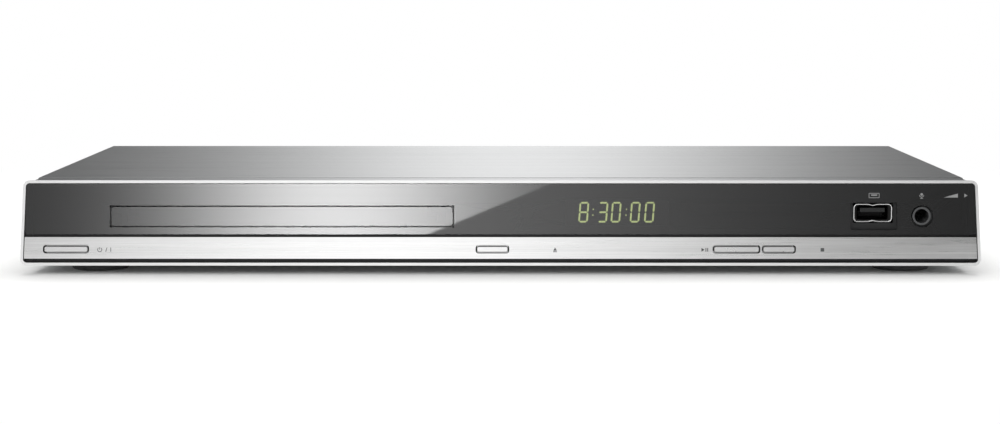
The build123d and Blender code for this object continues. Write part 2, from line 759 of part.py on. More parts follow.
with BuildPart() as loader_frame:
    with BuildSketch(Plane.XY.offset(base_z[0])):
        with Locations((loader_x, (loader_front + loader_rear) / 2)):
            RectangleRounded(loader_width, loader_rear - loader_front, 2.0)
    extrude(amount=loader_base)
    base_hole = (unit_front - 0.6, unit_rear + 2.0)
    block(across(-unit_half - unit_gap, unit_half + unit_gap), base_hole, (0, overall_height), Mode.SUBTRACT)
    for wall_x in mirrored(rail_inner, half_loader):
        block(wall_x, (loader_front, loader_rear), (base_z[0], loader_top))
    for ledge_x in mirrored(tray_width / 2 - 4.0, rail_inner):
        block(ledge_x, (loader_front, loader_rear - 3.0), (ledge_top - 3.0, ledge_top))
    for hook_x in mirrored(tray_width / 2 - 3.0, rail_inner):
        for hook_y in (-90.0, -45.0, 0.0, 45.0):
            block(hook_x, (hook_y, hook_y + 12.0), hook_z)
    for seat_x in mirrored(half_loader - 6.0, half_loader):
        block(seat_x, bridge_y, (loader_top - 2.5, loader_top))
    block(across(-half_loader, half_loader), (loader_rear - loader_wall, loader_rear), (base_z[0], ledge_top))
    for ear_x in mirrored(unit_half + unit_gap, unit_half + unit_gap + 3.0):
        block(ear_x, (pivot_y - 5.0, pivot_y + 5.0), (base_z[0], pivot_z + 4.5))
    with BuildSketch(side_plane(loader_x - half_loader + loader_wall + 2.0)):
        with Locations((pivot_y, pivot_z)):
            Circle(pivot_radius + running_gap)
    extrude(amount=loader_width - 2 * loader_wall - 4.0, mode=Mode.SUBTRACT)
    guide_y = (cam_y - slide_gap - 2.0, cam_y - slide_gap)
    block(across(*guide_u), guide_y, (base_z[1], base_z[1] + 14.0))
    post([motor_place], motor_radius + 1.8, (base_z[1], base_z[1] + 7.0))
    post([motor_place], motor_radius + 0.15, (base_z[1], overall_height), Mode.SUBTRACT)
    for place in (drive_place, input_place):
        post([place], 4.0, (base_z[1], wheel_bottom - 0.2))
        post([place], gear_pin_radius, (wheel_bottom - 0.2, pinion_top))
    post(loader_screw_places, screw_radius + 0.15, base_z, Mode.SUBTRACT)
    post(bridge_screw_places, 1.0, (loader_top - 4.0, loader_top), Mode.SUBTRACT)
save(loader_frame.part, "loader_frame")

rack_pitch_x = drive_place[0] + pinion_radius
rack_back_x = loader_x + tray_width / 2 - tray_rail
rack_z = (rack_bottom, rack_bottom + rack_height)
half_body = tray_width / 2 - tray_flange
with BuildPart() as disc_tray:
    with BuildSketch(Plane.XY.offset(tray_skin_bottom)) as tray_plan:
        with Locations((loader_x, (tray_front + tray_rear) / 2)):
            Rectangle(2 * half_body, tray_rear - tray_front)
        fillet(tray_plan.vertices().group_by(Axis.Y)[-1], 7.0)
    extrude(amount=tray_top - tray_skin_bottom)
    for rail_x in mirrored(tray_width / 2 - tray_rail, half_body + 0.01):
        block(rail_x, (tray_front, tray_rear - 7.0), (tray_bottom, tray_skin_bottom + 0.01))
    for flange_x in mirrored(half_body, tray_width / 2):
        block(flange_x, (tray_front, tray_rear - 7.0), (tray_bottom, flange_top))
    block(across(-half_body, half_body), (tray_front, tray_front + 3.0), (tray_bottom, tray_skin_bottom + 0.01))
    rack_ends = (tray_front + 15.0, tray_rear - 7.0)
    with BuildSketch(Plane.XY.offset(rack_z[0])):
        with BuildLine():
            Polyline(
                *rack_points(pinion_module, drive_place[1], rack_ends, rack_pitch_x, rack_back_x + 0.01),
                close=True,
            )
        make_face()
    extrude(amount=rack_height)
    block((rack_back_x - 2.4, rack_back_x + 0.01), rack_ends, (rack_z[1] - 0.01, tray_skin_bottom + 0.01))
    disc_place = (loader_x, disc_y)
    post([disc_place], disc_recess_radius + 1.0, (tray_pan_bottom, tray_skin_bottom + 0.01))
    with BuildSketch(Plane.XY.offset(tray_top)):
        with Locations(disc_place):
            Circle(disc_recess_radius)
            for side in (-1, 1):
                with Locations((side * disc_recess_radius, 0)):
                    RectangleRounded(7.0, 26.0, 3.0)
    extrude(amount=disc_recess_floor - tray_top, mode=Mode.SUBTRACT)
    with BuildSketch(Plane.XY.offset(disc_recess_floor)):
        with Locations(disc_place):
            Circle(small_recess_radius)
    extrude(amount=small_recess_floor - disc_recess_floor, mode=Mode.SUBTRACT)
    with BuildSketch(Plane.XY.offset(tray_pan_bottom)):
        with Locations(disc_place):
            Circle(slot_width / 2)
        with Locations((loader_x, (disc_y + slot_rear) / 2)):
            Rectangle(slot_width, slot_rear - disc_y)
    extrude(amount=tray_top, mode=Mode.SUBTRACT)
save(disc_tray.part, "disc_tray")

with BuildPart() as tray_door:
    with BuildSketch(face_plane(window_recess)):
        with Locations((loader_x, door_v)):
            RectangleRounded(door_width, door_height, door_corner)
    extrude(amount=-door_thickness)
    door_back = front_y + (window_recess + door_thickness) / cos(lean) + tan(lean) * (door_z - panel_bottom)
    lug_z = (door_z - door_height / 2 + 0.9, door_z + door_height / 2 - 1.2)
    block(across(-half_body + 4.0, half_body - 4.0), (door_back - 0.8, tray_front - 0.05), lug_z)
save(tray_door.part, "tray_door")

# ---- gears from the loading motor to the rack --------------------------------------------
with BuildPart() as drive_gear:
    with BuildSketch(Plane.XY.offset(wheel_bottom)):
        Polygon(*gear_points(wheel_teeth, wheel_module, drive_place, input_direction), align=None)
    extrude(amount=wheel_thickness)
    post([drive_place], 5.2, (wheel_bottom, pinion_bottom))
    with BuildSketch(Plane.XY.offset(pinion_bottom)):
        Polygon(*gear_points(pinion_teeth, pinion_module, drive_place, 0.0), align=None)
    extrude(amount=pinion_thickness)
    with BuildSketch(Plane.XY.offset(wheel_bottom + wheel_thickness - 1.0)):
        with Locations(drive_place):
            with PolarLocations(9.2, 5, start_angle=20.0):
                Circle(2.6)
    extrude(amount=-wheel_thickness * 2, both=True, mode=Mode.SUBTRACT)
    post([drive_place], gear_pin_radius + running_gap, (0, overall_height), Mode.SUBTRACT)
save(drive_gear.part, "drive_gear")

groove_z = (pulley_bottom + pulley_flange, pulley_bottom + pulley_thickness - pulley_flange)
groove_depth = belt_size
input_gap_turn = input_direction - 180.0 + 180.0 / input_teeth
with BuildPart() as pulley_gear:
    with BuildSketch(Plane.XY.offset(wheel_bottom)):
        Polygon(*gear_points(input_teeth, wheel_module, input_place, input_gap_turn), align=None)
    extrude(amount=wheel_thickness + 0.4)
    post([input_place], 3.4, (wheel_bottom, pulley_bottom))
    post([input_place], pulley_radius, (pulley_bottom, pulley_bottom + pulley_thickness))
    with BuildSketch(Plane.XY.offset(groove_z[0])):
        with Locations(input_place):
            Circle(pulley_radius + 1.0)
            Circle(pulley_radius - groove_depth, mode=Mode.SUBTRACT)
    extrude(amount=groove_z[1] - groove_z[0], mode=Mode.SUBTRACT)
    post([input_place], gear_pin_radius + running_gap, (0, overall_height), Mode.SUBTRACT)
save(pulley_gear.part, "pulley_gear")

with BuildPart() as loading_motor:
    post([motor_place], motor_radius, motor_z)
    fillet(loading_motor.edges().group_by(Axis.Z)[0], 1.2)
    post([motor_place], 3.0, (motor_z[1], motor_z[1] + 0.15))
    post([motor_place], motor_shaft_radius + running_gap, (motor_z[1] - 6.0, overall_height), Mode.SUBTRACT)
save(loading_motor.part, "loading_motor")

with BuildPart() as motor_pulley:
    post([motor_place], motor_pulley_radius, (pulley_bottom, pulley_bottom + pulley_thickness))
    with BuildSketch(Plane.XY.offset(groove_z[0])):
        with Locations(motor_place):
            Circle(motor_pulley_radius + 1.0)
            Circle(motor_pulley_radius - groove_depth, mode=Mode.SUBTRACT)
    extrude(amount=groove_z[1] - groove_z[0], mode=Mode.SUBTRACT)
    post([motor_place], motor_shaft_radius, (motor_z[1] - 5.5, pulley_bottom))
save(motor_pulley.part, "motor_pulley")

belt_z = (groove_z[0] + groove_z[1] - belt_size) / 2
belt_rounds = (
    (motor_place, motor_pulley_radius - groove_depth + belt_gap),
    (input_place, pulley_radius - groove_depth + belt_gap),
)
with BuildPart() as drive_belt:
    with BuildSketch(Plane.XY.offset(belt_z)):
        for place, radius in belt_rounds:
            with Locations(place):
                Circle(radius + belt_size)
        make_hull()
    extrude(amount=belt_size)
    with BuildSketch(Plane.XY.offset(belt_z)):
        for place, radius in belt_rounds:
            with Locations(place):
                Circle(radius)
        make_hull()
    extrude(amount=belt_size, mode=Mode.SUBTRACT)
save(drive_belt.part, "drive_belt")

with BuildPart() as loader_screws:
    post(loader_screw_places, 2.8, (base_z[1], base_z[1] + 1.6))
    post(loader_screw_places, screw_radius, (floor_z, base_z[1]))
    post(bridge_screw_places, 2.0, (loader_top + bridge_thickness, loader_top + bridge_thickness + 1.2))
save(loader_screws.part, "loader_screws")

# ---- clamp over the disc -----------------------------------------------------------------
with BuildPart() as clamp_bridge:
    half_bridge = half_loader
    block(across(-half_bridge, half_bridge), bridge_y, (loader_top, loader_top + bridge_thickness))
    for lip_y in ((bridge_y[0], bridge_y[0] + 1.0), (bridge_y[1] - 1.0, bridge_y[1])):
        block(across(-half_bridge + 14.0, half_bridge - 14.0), lip_y, (loader_top, loader_top + bridge_lip))
    post([disc_place], clamp_radius + clamp_gap, (loader_top - 1.0, overall_height), Mode.SUBTRACT)
save(clamp_bridge.part, "clamp_bridge")

clamp_seat = loader_top + bridge_thickness + 0.1
clamp_top = clamp_seat + 1.6
with BuildPart() as disc_clamp:
    with BuildSketch(Plane(origin=(loader_x, disc_y, 0), x_dir=(1, 0, 0), z_dir=(0, -1, 0))):
        with BuildLine():
            Polyline(
                (0, clamp_top),
                (clamp_flange_radius, clamp_top),
                (clamp_flange_radius, clamp_seat),
                (clamp_radius, clamp_seat),
                (clamp_radius, clamp_bottom),
                (hub_radius + 1.0, clamp_bottom),
                (hub_radius - 1.2, clamp_bottom + 2.4),
                (0, clamp_bottom + 2.4),
                close=True,
            )
        make_face()
    revolve(axis=Axis((loader_x, disc_y, 0), (0, 0, 1)))
save(disc_clamp.part, "disc_clamp")

with BuildPart() as clamp_yoke:
    post([disc_place], 9.5, (clamp_top, clamp_top + 1.2))
    fillet(clamp_yoke.edges().group_by(Axis.Z)[-1], 0.4)
save(clamp_yoke.part, "clamp_yoke")
# ---- disc unit, on its own plane, tipped down about the rear pivot -----------------------
lift = radians(lift_angle)
pivot_place = (loader_x, pivot_y, pivot_z)
unit_base = Plane(origin=pivot_place, x_dir=(1, 0, 0), z_dir=(0, -sin(lift), cos(lift)))


def unit_plane(z):
    """Plane of the disc unit that is level at `z` once the unit is raised."""
    return unit_base.offset(z - pivot_z)


def unit_place(u, y):
    """Place on such a plane, from its sideways offset and its raised Y."""
    return (u, y - pivot_y)


def unit_cylinder(places, radius, z_span, mode=Mode.ADD):
    """Round post or hole of the disc unit, square to its plane."""
    for u, y in places:
        local = unit_base.from_local_coords(Vector(u, y - pivot_y, z_span[0] - pivot_z))
        with Locations(Plane(origin=local, x_dir=(1, 0, 0), z_dir=unit_base.z_dir).location):
            Cylinder(
                radius,
                z_span[1] - z_span[0],
                align=(Align.CENTER, Align.CENTER, Align.MIN),
                mode=mode,
            )


def unit_block(u_span, y_span, z_span, mode=Mode.ADD):
    """Straight-sided block of the disc unit, given in its raised pose."""
    local = unit_base.from_local_coords(Vector(u_span[0], y_span[0] - pivot_y, z_span[0] - pivot_z))
    with Locations(Plane(origin=local, x_dir=(1, 0, 0), z_dir=unit_base.z_dir).location):
        Box(
            u_span[1] - u_span[0],
            y_span[1] - y_span[0],
            z_span[1] - z_span[0],
            align=(Align.MIN, Align.MIN, Align.MIN),
            mode=mode,
        )


def unit_rod(u, z, y_from, y_to, radius, mode=Mode.ADD):
    """Round rod or bore of the disc unit that runs to the back."""
    local = unit_base.from_local_coords(Vector(u, y_from - pivot_y, z - pivot_z))
    with Locations(Plane(origin=local, x_dir=(1, 0, 0), z_dir=unit_base.y_dir).location):
        Cylinder(radius, y_to - y_from, align=(Align.CENTER, Align.CENTER, Align.MIN), mode=mode)


sled_small_radius = sled_small_teeth * sled_module / 2
sled_large_radius = sled_large_teeth * sled_module / 2
sled_pinion_radius = sled_pinion_teeth * sled_module / 2
sled_place = (sled_gear_u, sled_gear_y)
sled_angle = radians(sled_motor_direction)
sled_distance = sled_large_radius + sled_pinion_radius
sled_motor_place = (
    sled_gear_u + sled_distance * cos(sled_angle),
    sled_gear_y + sled_distance * sin(sled_angle),
)
plate_bottom = unit_top - unit_plate
unit_bottom = unit_top - unit_height
pickup_half = rod_u + 2.4
window_half = pickup_half + 0.6
window_front = pickup_front - 0.5
window_rear = pickup_rear + pickup_travel + 0.6
holder_bottom = rod_height - rod_radius - 0.8
small_gear_z = (unit_bottom + 0.4, 19.2)
large_gear_z = (19.3, plate_bottom - slide_gap)
sled_motor_z = (sled_motor_top - sled_motor_height, sled_motor_top)
spindle_motor_z = (spindle_motor_top - spindle_motor_height, spindle_motor_top)
spindle = (0.0, disc_y)

with BuildPart() as traverse_chassis:
    with BuildSketch(unit_plane(unit_top)):
        with Locations(unit_place(0, (unit_front + unit_rear) / 2)):
            RectangleRounded(unit_width, unit_rear - unit_front, 4.0)
    extrude(amount=-unit_height)
    with BuildSketch(unit_plane(plate_bottom)):
        with Locations(unit_place(0, (unit_front + unit_rear) / 2)):
            RectangleRounded(unit_width - 2 * unit_wall, unit_rear - unit_front - 2 * unit_wall, 2.0)
    extrude(amount=-unit_height, mode=Mode.SUBTRACT)
    under_plate = (holder_bottom, plate_bottom + 0.01)
    unit_cylinder([spindle], spindle_motor_radius + 2.2, under_plate)
    for side in (-1, 1):
        holder = (side * rod_u - 3.0, side * rod_u + 3.0)
        unit_block(holder, (window_front - 4.0, window_front), under_plate)
        unit_block(holder, (window_rear, window_rear + 4.0), under_plate)
        unit_block(
            tuple(sorted((side * (window_half + 10.0), side * (window_half + 12.0)))),
            (30.0, unit_rear - unit_wall),
            (unit_bottom + 1.5, plate_bottom + 0.01),
        )
    unit_cylinder([sled_motor_place], sled_motor_radius + 1.2, (sled_motor_z[0] + 1.0, plate_bottom + 0.01))
    unit_cylinder([sled_motor_place], sled_motor_radius + 0.1, (sled_motor_z[0] - 1.0, sled_motor_top), Mode.SUBTRACT)
    unit_cylinder([sled_motor_place], sled_pinion_radius + 1.4, (sled_motor_top - 1.0, plate_bottom), Mode.SUBTRACT)
    gear_room = (sled_motor_z[0] - 1.0, plate_bottom)
    unit_cylinder([sled_place], sled_large_radius + 0.9, gear_room, Mode.SUBTRACT)
    unit_cylinder([sled_place], sled_pin_radius, (unit_bottom + 0.1, plate_bottom + 0.01))
    unit_block((-window_half, window_half), (window_front, window_rear), (0, overall_height), Mode.SUBTRACT)
    unit_cylinder([spindle], spindle_motor_radius + 0.1, (0, overall_height), Mode.SUBTRACT)
    for side in (-1, 1):
        unit_rod(side * rod_u, rod_height, window_front - 3.0, window_rear + 3.0, rod_radius + 0.05, Mode.SUBTRACT)
    with BuildSketch(side_plane(loader_x + unit_half - 1.0)):
        with Locations((pivot_y, pivot_z)):
            Circle(pivot_radius)
    extrude(amount=unit_gap + 3.5)
    with BuildSketch(side_plane(loader_x - unit_half + 1.0)):
        with Locations((pivot_y, pivot_z)):
            Circle(pivot_radius)
    extrude(amount=-(unit_gap + 3.5))
    unit_rod(0.0, cam_height, unit_front - 2.7, unit_front + 1.0, cam_pin_radius)
save(traverse_chassis.part, "traverse_chassis")

with BuildPart() as spindle_motor:
    unit_cylinder([spindle], spindle_motor_radius, spindle_motor_z)
    unit_cylinder([spindle], spindle_motor_radius + 1.6, (unit_top + 0.02, unit_top + 0.8))
    unit_cylinder([spindle], spindle_radius + running_gap, (spindle_motor_z[0] + 1.0, overall_height), Mode.SUBTRACT)
save(spindle_motor.part, "spindle_motor")

ring_bottom = disc_plane - ring_thickness
turntable_bottom = spindle_motor_top + 0.8
with BuildPart() as turntable:
    unit_cylinder([spindle], turntable_radius, (turntable_bottom, ring_bottom))
    unit_cylinder([spindle], hub_radius, (turntable_bottom, disc_plane + 0.8))
    hub_base = unit_base.from_local_coords(Vector(0, disc_y - pivot_y, disc_plane + 0.8 - pivot_z))
    with Locations(Plane(origin=hub_base, x_dir=(1, 0, 0), z_dir=unit_base.z_dir).location):
        Cone(hub_radius, hub_radius - 2.4, hub_height - 0.8, align=(Align.CENTER, Align.CENTER, Align.MIN))
    unit_cylinder([spindle], 2.4, (spindle_motor_top + 0.3, turntable_bottom))
    unit_cylinder([spindle], spindle_radius, (spindle_motor_z[0] + 1.6, turntable_bottom))
save(turntable.part, "turntable")

with BuildPart() as turntable_ring:
    unit_cylinder([spindle], turntable_radius - 0.2, (ring_bottom, disc_plane))
    unit_cylinder([spindle], turntable_radius - 0.2 - ring_width, (ring_bottom, disc_plane), Mode.SUBTRACT)
save(turntable_ring.part, "turntable_ring")

with BuildPart() as guide_rods:
    for side in (-1, 1):
        unit_rod(side * rod_u, rod_height, window_front - 2.8, window_rear + 2.8, rod_radius)
save(guide_rods.part, "guide_rods")

pickup_z = (unit_bottom + 0.2, unit_top - 0.6)
sled_rack_x = sled_gear_u - sled_small_radius
lens_block_top = lens_top - 2.3
with BuildPart() as optical_pickup:
    with BuildSketch(unit_plane(pickup_z[0])):
        with BuildLine():
            front, rear = pickup_front - pivot_y, pickup_rear - pivot_y
            Polyline(
                (-pickup_half, front + 3.0),
                (-pickup_half + 5.0, front),
                (pickup_half, front),
                (pickup_half, rear),
                (12.0, rear),
                (9.0, rear - 5.0),
                (-12.0, rear - 5.0),
                (-15.0, rear),
                (-pickup_half, rear),
                close=True,
            )
        make_face()
    extrude(amount=pickup_z[1] - pickup_z[0])
    unit_block((-9.0, 9.0), (pickup_front + 0.5, lens_y + 7.5), (pickup_z[1] - 0.01, lens_block_top))
    sled_rack_z = (small_gear_z[0], large_gear_z[0] - slide_gap)
    with BuildSketch(unit_plane(sled_rack_z[0])):
        rack_ends = (rack_front - pivot_y, pickup_rear - pivot_y)
        sled_rack = rack_points(sled_module, sled_gear_y - pivot_y, rack_ends, sled_rack_x, pickup_half + 2.2)
        Polygon(*sled_rack, align=None)
    extrude(amount=sled_rack_z[1] - sled_rack_z[0])
    unit_block((pickup_half - 0.01, pickup_half + 2.3), (pickup_front + 0.5, pickup_rear), sled_rack_z)
    for side in (-1, 1):
        unit_rod(side * rod_u, rod_height, -60.0, 60.0, rod_radius + running_gap, Mode.SUBTRACT)
save(optical_pickup.part, "optical_pickup")

with BuildPart() as pickup_lens:
    lens_centre = unit_base.from_local_coords(Vector(0, lens_y - pivot_y, lens_block_top - pivot_z))
    unit_cylinder([(0, lens_y)], lens_radius, (lens_block_top, lens_top - 1.0))
    unit_cylinder([(0, lens_y)], lens_radius - 1.2, (lens_top - 1.0, lens_top))
    fillet(pickup_lens.faces().sort_by(Axis.Z)[-1].edges(), 0.7)
save(pickup_lens.part, "pickup_lens")

with BuildPart() as sled_motor:
    unit_cylinder([sled_motor_place], sled_motor_radius, (sled_motor_z[0], sled_motor_z[1] - 0.05))
    unit_cylinder([sled_motor_place], 0.7 + running_gap, (sled_motor_z[0] + 1.0, sled_motor_top), Mode.SUBTRACT)
save(sled_motor.part, "sled_motor")

sled_gap_turn = sled_motor_direction + 180.0 + 180.0 / sled_pinion_teeth
with BuildPart() as sled_pinion:
    with BuildSketch(unit_plane(large_gear_z[0])):
        place = unit_place(*sled_motor_place)
        Polygon(*gear_points(sled_pinion_teeth, sled_module, place, sled_gap_turn), align=None)
    extrude(amount=large_gear_z[1] - large_gear_z[0])
    unit_cylinder([sled_motor_place], 0.7, (sled_motor_z[0] + 1.5, large_gear_z[0]))
save(sled_pinion.part, "sled_pinion")

with BuildPart() as sled_gear:
    place = unit_place(*sled_place)
    with BuildSketch(unit_plane(small_gear_z[0])):
        Polygon(*gear_points(sled_small_teeth, sled_module, place, 180.0), align=None)
    extrude(amount=large_gear_z[0] - small_gear_z[0])
    with BuildSketch(unit_plane(large_gear_z[0])):
        Polygon(*gear_points(sled_large_teeth, sled_module, place, sled_motor_direction), align=None)
    extrude(amount=large_gear_z[1] - large_gear_z[0])
    unit_cylinder([sled_place], sled_pin_radius + running_gap, (0, overall_height), Mode.SUBTRACT)
save(sled_gear.part, "sled_gear")

# ---- cam slider: its sloping slot carries the pin at the front of the disc unit ----------
pin_middle = cam_y + cam_thickness / 2
pin_arm = pivot_y - pin_middle
pin_low = pivot_z - pin_arm * sin(lift) + (cam_height - pivot_z) * cos(lift)
slot_height = 2 * (cam_pin_radius + cam_pin_gap)
dwell = 1.5
cam_x = (loader_x - cam_travel - 16.0, loader_x + 14.0)
cam_path = [
    (loader_x + dwell, pin_low),
    (loader_x, pin_low),
    (loader_x - cam_travel, cam_height),
    (loader_x - cam_travel - dwell, cam_height),
]
with BuildPart() as cam_slider:
    with BuildSketch(upright_plane(cam_y)) as cam_plan:
        cam_low = base_z[1] + slide_gap
        cam_high = cam_height + 4.0
        with Locations(((cam_x[0] + cam_x[1]) / 2, (cam_low + cam_high) / 2)):
            Rectangle(cam_x[1] - cam_x[0], cam_high - cam_low)
        fillet(cam_plan.vertices().group_by(Axis.Y)[-1], 3.0)
        for start, end in zip(cam_path, cam_path[1:]):
            run, rise = end[0] - start[0], end[1] - start[1]
            with Locations(((start[0] + end[0]) / 2, (start[1] + end[1]) / 2)):
                turn = degrees(atan2(rise, run))
                SlotCenterToCenter(hypot(run, rise), slot_height, rotation=turn, mode=Mode.SUBTRACT)
    extrude(amount=-cam_thickness)
save(cam_slider.part, "cam_slider")
# ---- boards and what they carry ----------------------------------------------------------
board_top = board_z + board_thickness
for name, board in (("main_pcb", main_board), ("power_pcb", power_board)):
    left, right, front, rear = board
    with BuildPart() as flat_board:
        with BuildSketch(Plane.XY.offset(board_z)):
            with Locations(((left + right) / 2, (front + rear) / 2)):
                RectangleRounded(right - left, rear - front, 1.5)
            with Locations(*board_corners(board)):
                Circle(screw_radius + 0.15, mode=Mode.SUBTRACT)
        extrude(amount=board_thickness)
    save(flat_board.part, name)

with BuildPart() as pcb_screws:
    post(board_posts, screw_head_radius, (board_top, board_top + screw_head_height))
    fillet(pcb_screws.edges().group_by(Axis.Z)[-1], 0.7)
    post(board_posts, screw_radius - 0.1, (floor_z + 1.0, board_top))
save(pcb_screws.part, "pcb_screws")

chips = [(20.0, 8.0, 24.0, 24.0), (62.0, 4.0, 16.0, 16.0), (88.0, 30.0, 10.0, 18.0), (18.0, 46.0, 12.0, 20.0)]
with BuildPart() as main_ics:
    for x, y, width, depth in chips:
        with BuildSketch(Plane.XY.offset(board_top)):
            with Locations((x, y)):
                Rectangle(width, depth)
        extrude(amount=1.8, taper=8.0)
save(main_ics.part, "main_ics")

cans = [(46.0, 40.0, 4.0, 8.0), (58.0, 42.0, 4.0, 8.0), (40.0, 62.0, 3.2, 7.0), (96.0, 60.0, 3.2, 7.0)]
cans += [(129.5, 60.0, 9.0, 24.0), (186.0, 12.0, 6.3, 16.0), (168.0, 12.0, 6.3, 16.0), (150.0, 12.0, 5.0, 12.0)]
with BuildPart() as capacitors:
    for x, y, radius, height in cans:
        post([(x, y)], radius, (board_top, board_top + height))
    fillet(capacitors.edges().filter_by(GeomType.CIRCLE).filter_by(lambda e: e.center().Z > board_top + 1.0), 0.8)
save(capacitors.part, "capacitors")

panel_inner = rear_y - sheet
block_y = (panel_inner - seam - av_block_depth, panel_inner - seam)
block_side = 1.5 * av_jack_pitch + 0.5
sleeve_front = block_y[0] + 3.0
block_top = av_jack_rows[-1] + av_jack_pitch / 2 - 0.6
with BuildPart() as av_jack_block:
    block((av_jack_x - block_side, av_jack_x + block_side), block_y, (board_top, block_top))
    chamfer(av_jack_block.edges().filter_by(Axis.X).group_by(Axis.Z)[-1], 1.0)
    with BuildSketch(upright_plane(block_y[1])):
        with Locations(*av_jack_places):
            Circle(av_jack_radius - av_jack_neck + 0.05)
    extrude(amount=block_y[1] - sleeve_front, mode=Mode.SUBTRACT)
save(av_jack_block.part, "av_jack_block")

sleeve_seat = rear_y + av_ring_thickness + av_jack_seat
sleeve_end = rear_y + av_jack_reach
sleeve_steps = [
    (sleeve_front, sleeve_seat, av_jack_radius - av_jack_neck),
    (sleeve_seat, sleeve_end, av_jack_radius),
]
with BuildPart() as av_jack_sleeves:
    for start, end, radius in sleeve_steps:
        with BuildSketch(upright_plane(end)):
            with Locations(*av_jack_places):
                Circle(radius)
                Circle(av_jack_radius - av_jack_wall, mode=Mode.SUBTRACT)
        extrude(amount=end - start)
save(av_jack_sleeves.part, "av_jack_sleeves")

with BuildPart() as av_jack_rings:
    with BuildSketch(upright_plane(rear_y)):
        with Locations(*av_jack_places):
            Circle(av_jack_radius + 1.9)
            Circle(av_jack_radius - av_jack_neck + 0.05, mode=Mode.SUBTRACT)
    extrude(amount=-av_ring_thickness)
    with BuildSketch(upright_plane(sleeve_front + 4.0)):
        with Locations(*av_jack_places):
            Circle(av_jack_radius - av_jack_wall - 0.05)
            Circle(1.5, mode=Mode.SUBTRACT)
    extrude(amount=4.0)
save(av_jack_rings.part, "av_jack_rings")

inlet_y = (rear_y - 15.0, rear_y + av_ring_thickness)
pocket_y = inlet_y[1] - inlet_depth
body_height = 2 * inlet_lobe_radius + 4.0
with BuildPart() as mains_inlet:
    with BuildSketch(upright_plane(inlet_y[1])):
        with Locations((inlet_x, inlet_z)):
            SlotCenterToCenter(inlet_pin_pitch + 4.0, body_height)
    extrude(amount=inlet_y[1] - inlet_y[0])
    with BuildSketch(upright_plane(panel_inner - seam)):
        with Locations((inlet_x, inlet_z)):
            RectangleRounded(inlet_pin_pitch + 4.0 + body_height + 2.0, body_height + 2.0, 2.0)
    extrude(amount=2.0)
    block((inlet_x - 8.0, inlet_x + 8.0), (inlet_y[0], rear_y - 5.0), (board_top, inlet_z))
    with BuildSketch(upright_plane(inlet_y[1])):
        with Locations((inlet_x, inlet_z)):
            Rectangle(inlet_pin_pitch, 2 * inlet_lobe_radius - 1.6)
        for side in (-1, 1):
            with Locations((inlet_x + side * inlet_pin_pitch / 2, inlet_z)):
                Circle(inlet_lobe_radius)
    extrude(amount=inlet_depth, mode=Mode.SUBTRACT)
save(mains_inlet.part, "mains_inlet")

with BuildPart() as inlet_pins:
    with BuildSketch(upright_plane(pocket_y)):
        with Locations((inlet_x, inlet_z)):
            with GridLocations(inlet_pin_pitch, 0, 2, 1):
                Circle(inlet_pin_radius)
    extrude(amount=2.0 - inlet_depth)
save(inlet_pins.part, "inlet_pins")

transformer_place = (154.0, 50.0)
with BuildPart() as transformer:
    x, y = transformer_place
    block((x - 11.0, x + 11.0), (y - 14.0, y + 14.0), (board_top, board_top + 6.0))
    block((x - 14.0, x + 14.0), (y - 9.0, y + 9.0), (board_top + 6.0, board_top + 11.0))
    block((x - 10.0, x + 10.0), (y - 12.0, y + 12.0), (board_top + 11.0, board_top + 19.0))
    block((x - 14.0, x + 14.0), (y - 9.0, y + 9.0), (board_top + 19.0, board_top + 24.0))
    for side in (-1, 1):
        leg = sorted((x + side * 11.0, x + side * 14.0))
        block(tuple(leg), (y - 9.0, y + 9.0), (board_top + 6.0, board_top + 24.0))
    for side in (-1, 1):
        pins = sorted((y + side * 11.0, y + side * 14.0))
        block((x - 11.0, x + 11.0), tuple(pins), (board_top, board_top + 8.0))
save(transformer.part, "transformer")

heat_sink_place = (194.0, 50.0)
fin_count = 6
fin_pitch = 3.6
with BuildPart() as heat_sink:
    x, y = heat_sink_place
    with BuildSketch(Plane.XY.offset(board_top)):
        with Locations((x + 8.0, y)):
            Rectangle(2.0, 44.0)
        with Locations((x, y)):
            with GridLocations(0, 44.0 / fin_count, 1, fin_count):
                Rectangle(16.0, 1.4)
    extrude(amount=22.0)
save(heat_sink.part, "heat_sink")
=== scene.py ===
import json
import math

import bpy
import numpy as np
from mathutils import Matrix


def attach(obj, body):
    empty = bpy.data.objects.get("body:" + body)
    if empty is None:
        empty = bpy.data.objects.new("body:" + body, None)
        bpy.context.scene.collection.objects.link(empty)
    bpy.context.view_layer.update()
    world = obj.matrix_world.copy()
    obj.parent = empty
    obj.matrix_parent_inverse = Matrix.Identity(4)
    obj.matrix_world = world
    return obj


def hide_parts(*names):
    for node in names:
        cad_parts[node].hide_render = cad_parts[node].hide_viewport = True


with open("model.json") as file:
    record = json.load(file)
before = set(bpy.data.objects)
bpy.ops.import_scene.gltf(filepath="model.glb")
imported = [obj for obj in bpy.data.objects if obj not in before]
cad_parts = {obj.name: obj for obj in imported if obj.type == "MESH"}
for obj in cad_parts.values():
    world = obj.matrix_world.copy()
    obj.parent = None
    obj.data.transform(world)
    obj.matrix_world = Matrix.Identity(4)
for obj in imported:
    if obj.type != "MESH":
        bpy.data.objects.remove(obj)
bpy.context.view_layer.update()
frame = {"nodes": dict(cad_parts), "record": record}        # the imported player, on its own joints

nodes = frame["nodes"]
mm = 0.001


# an sRGB hex colour as linear numbers
def toLinear(hexColour):
    channels = [int(hexColour[i:i + 2], 16) / 255 for i in (1, 3, 5)]
    return [c / 12.92 if c <= 0.04045 else ((c + 0.055) / 1.055) ** 2.4 for c in channels] + [1.0]


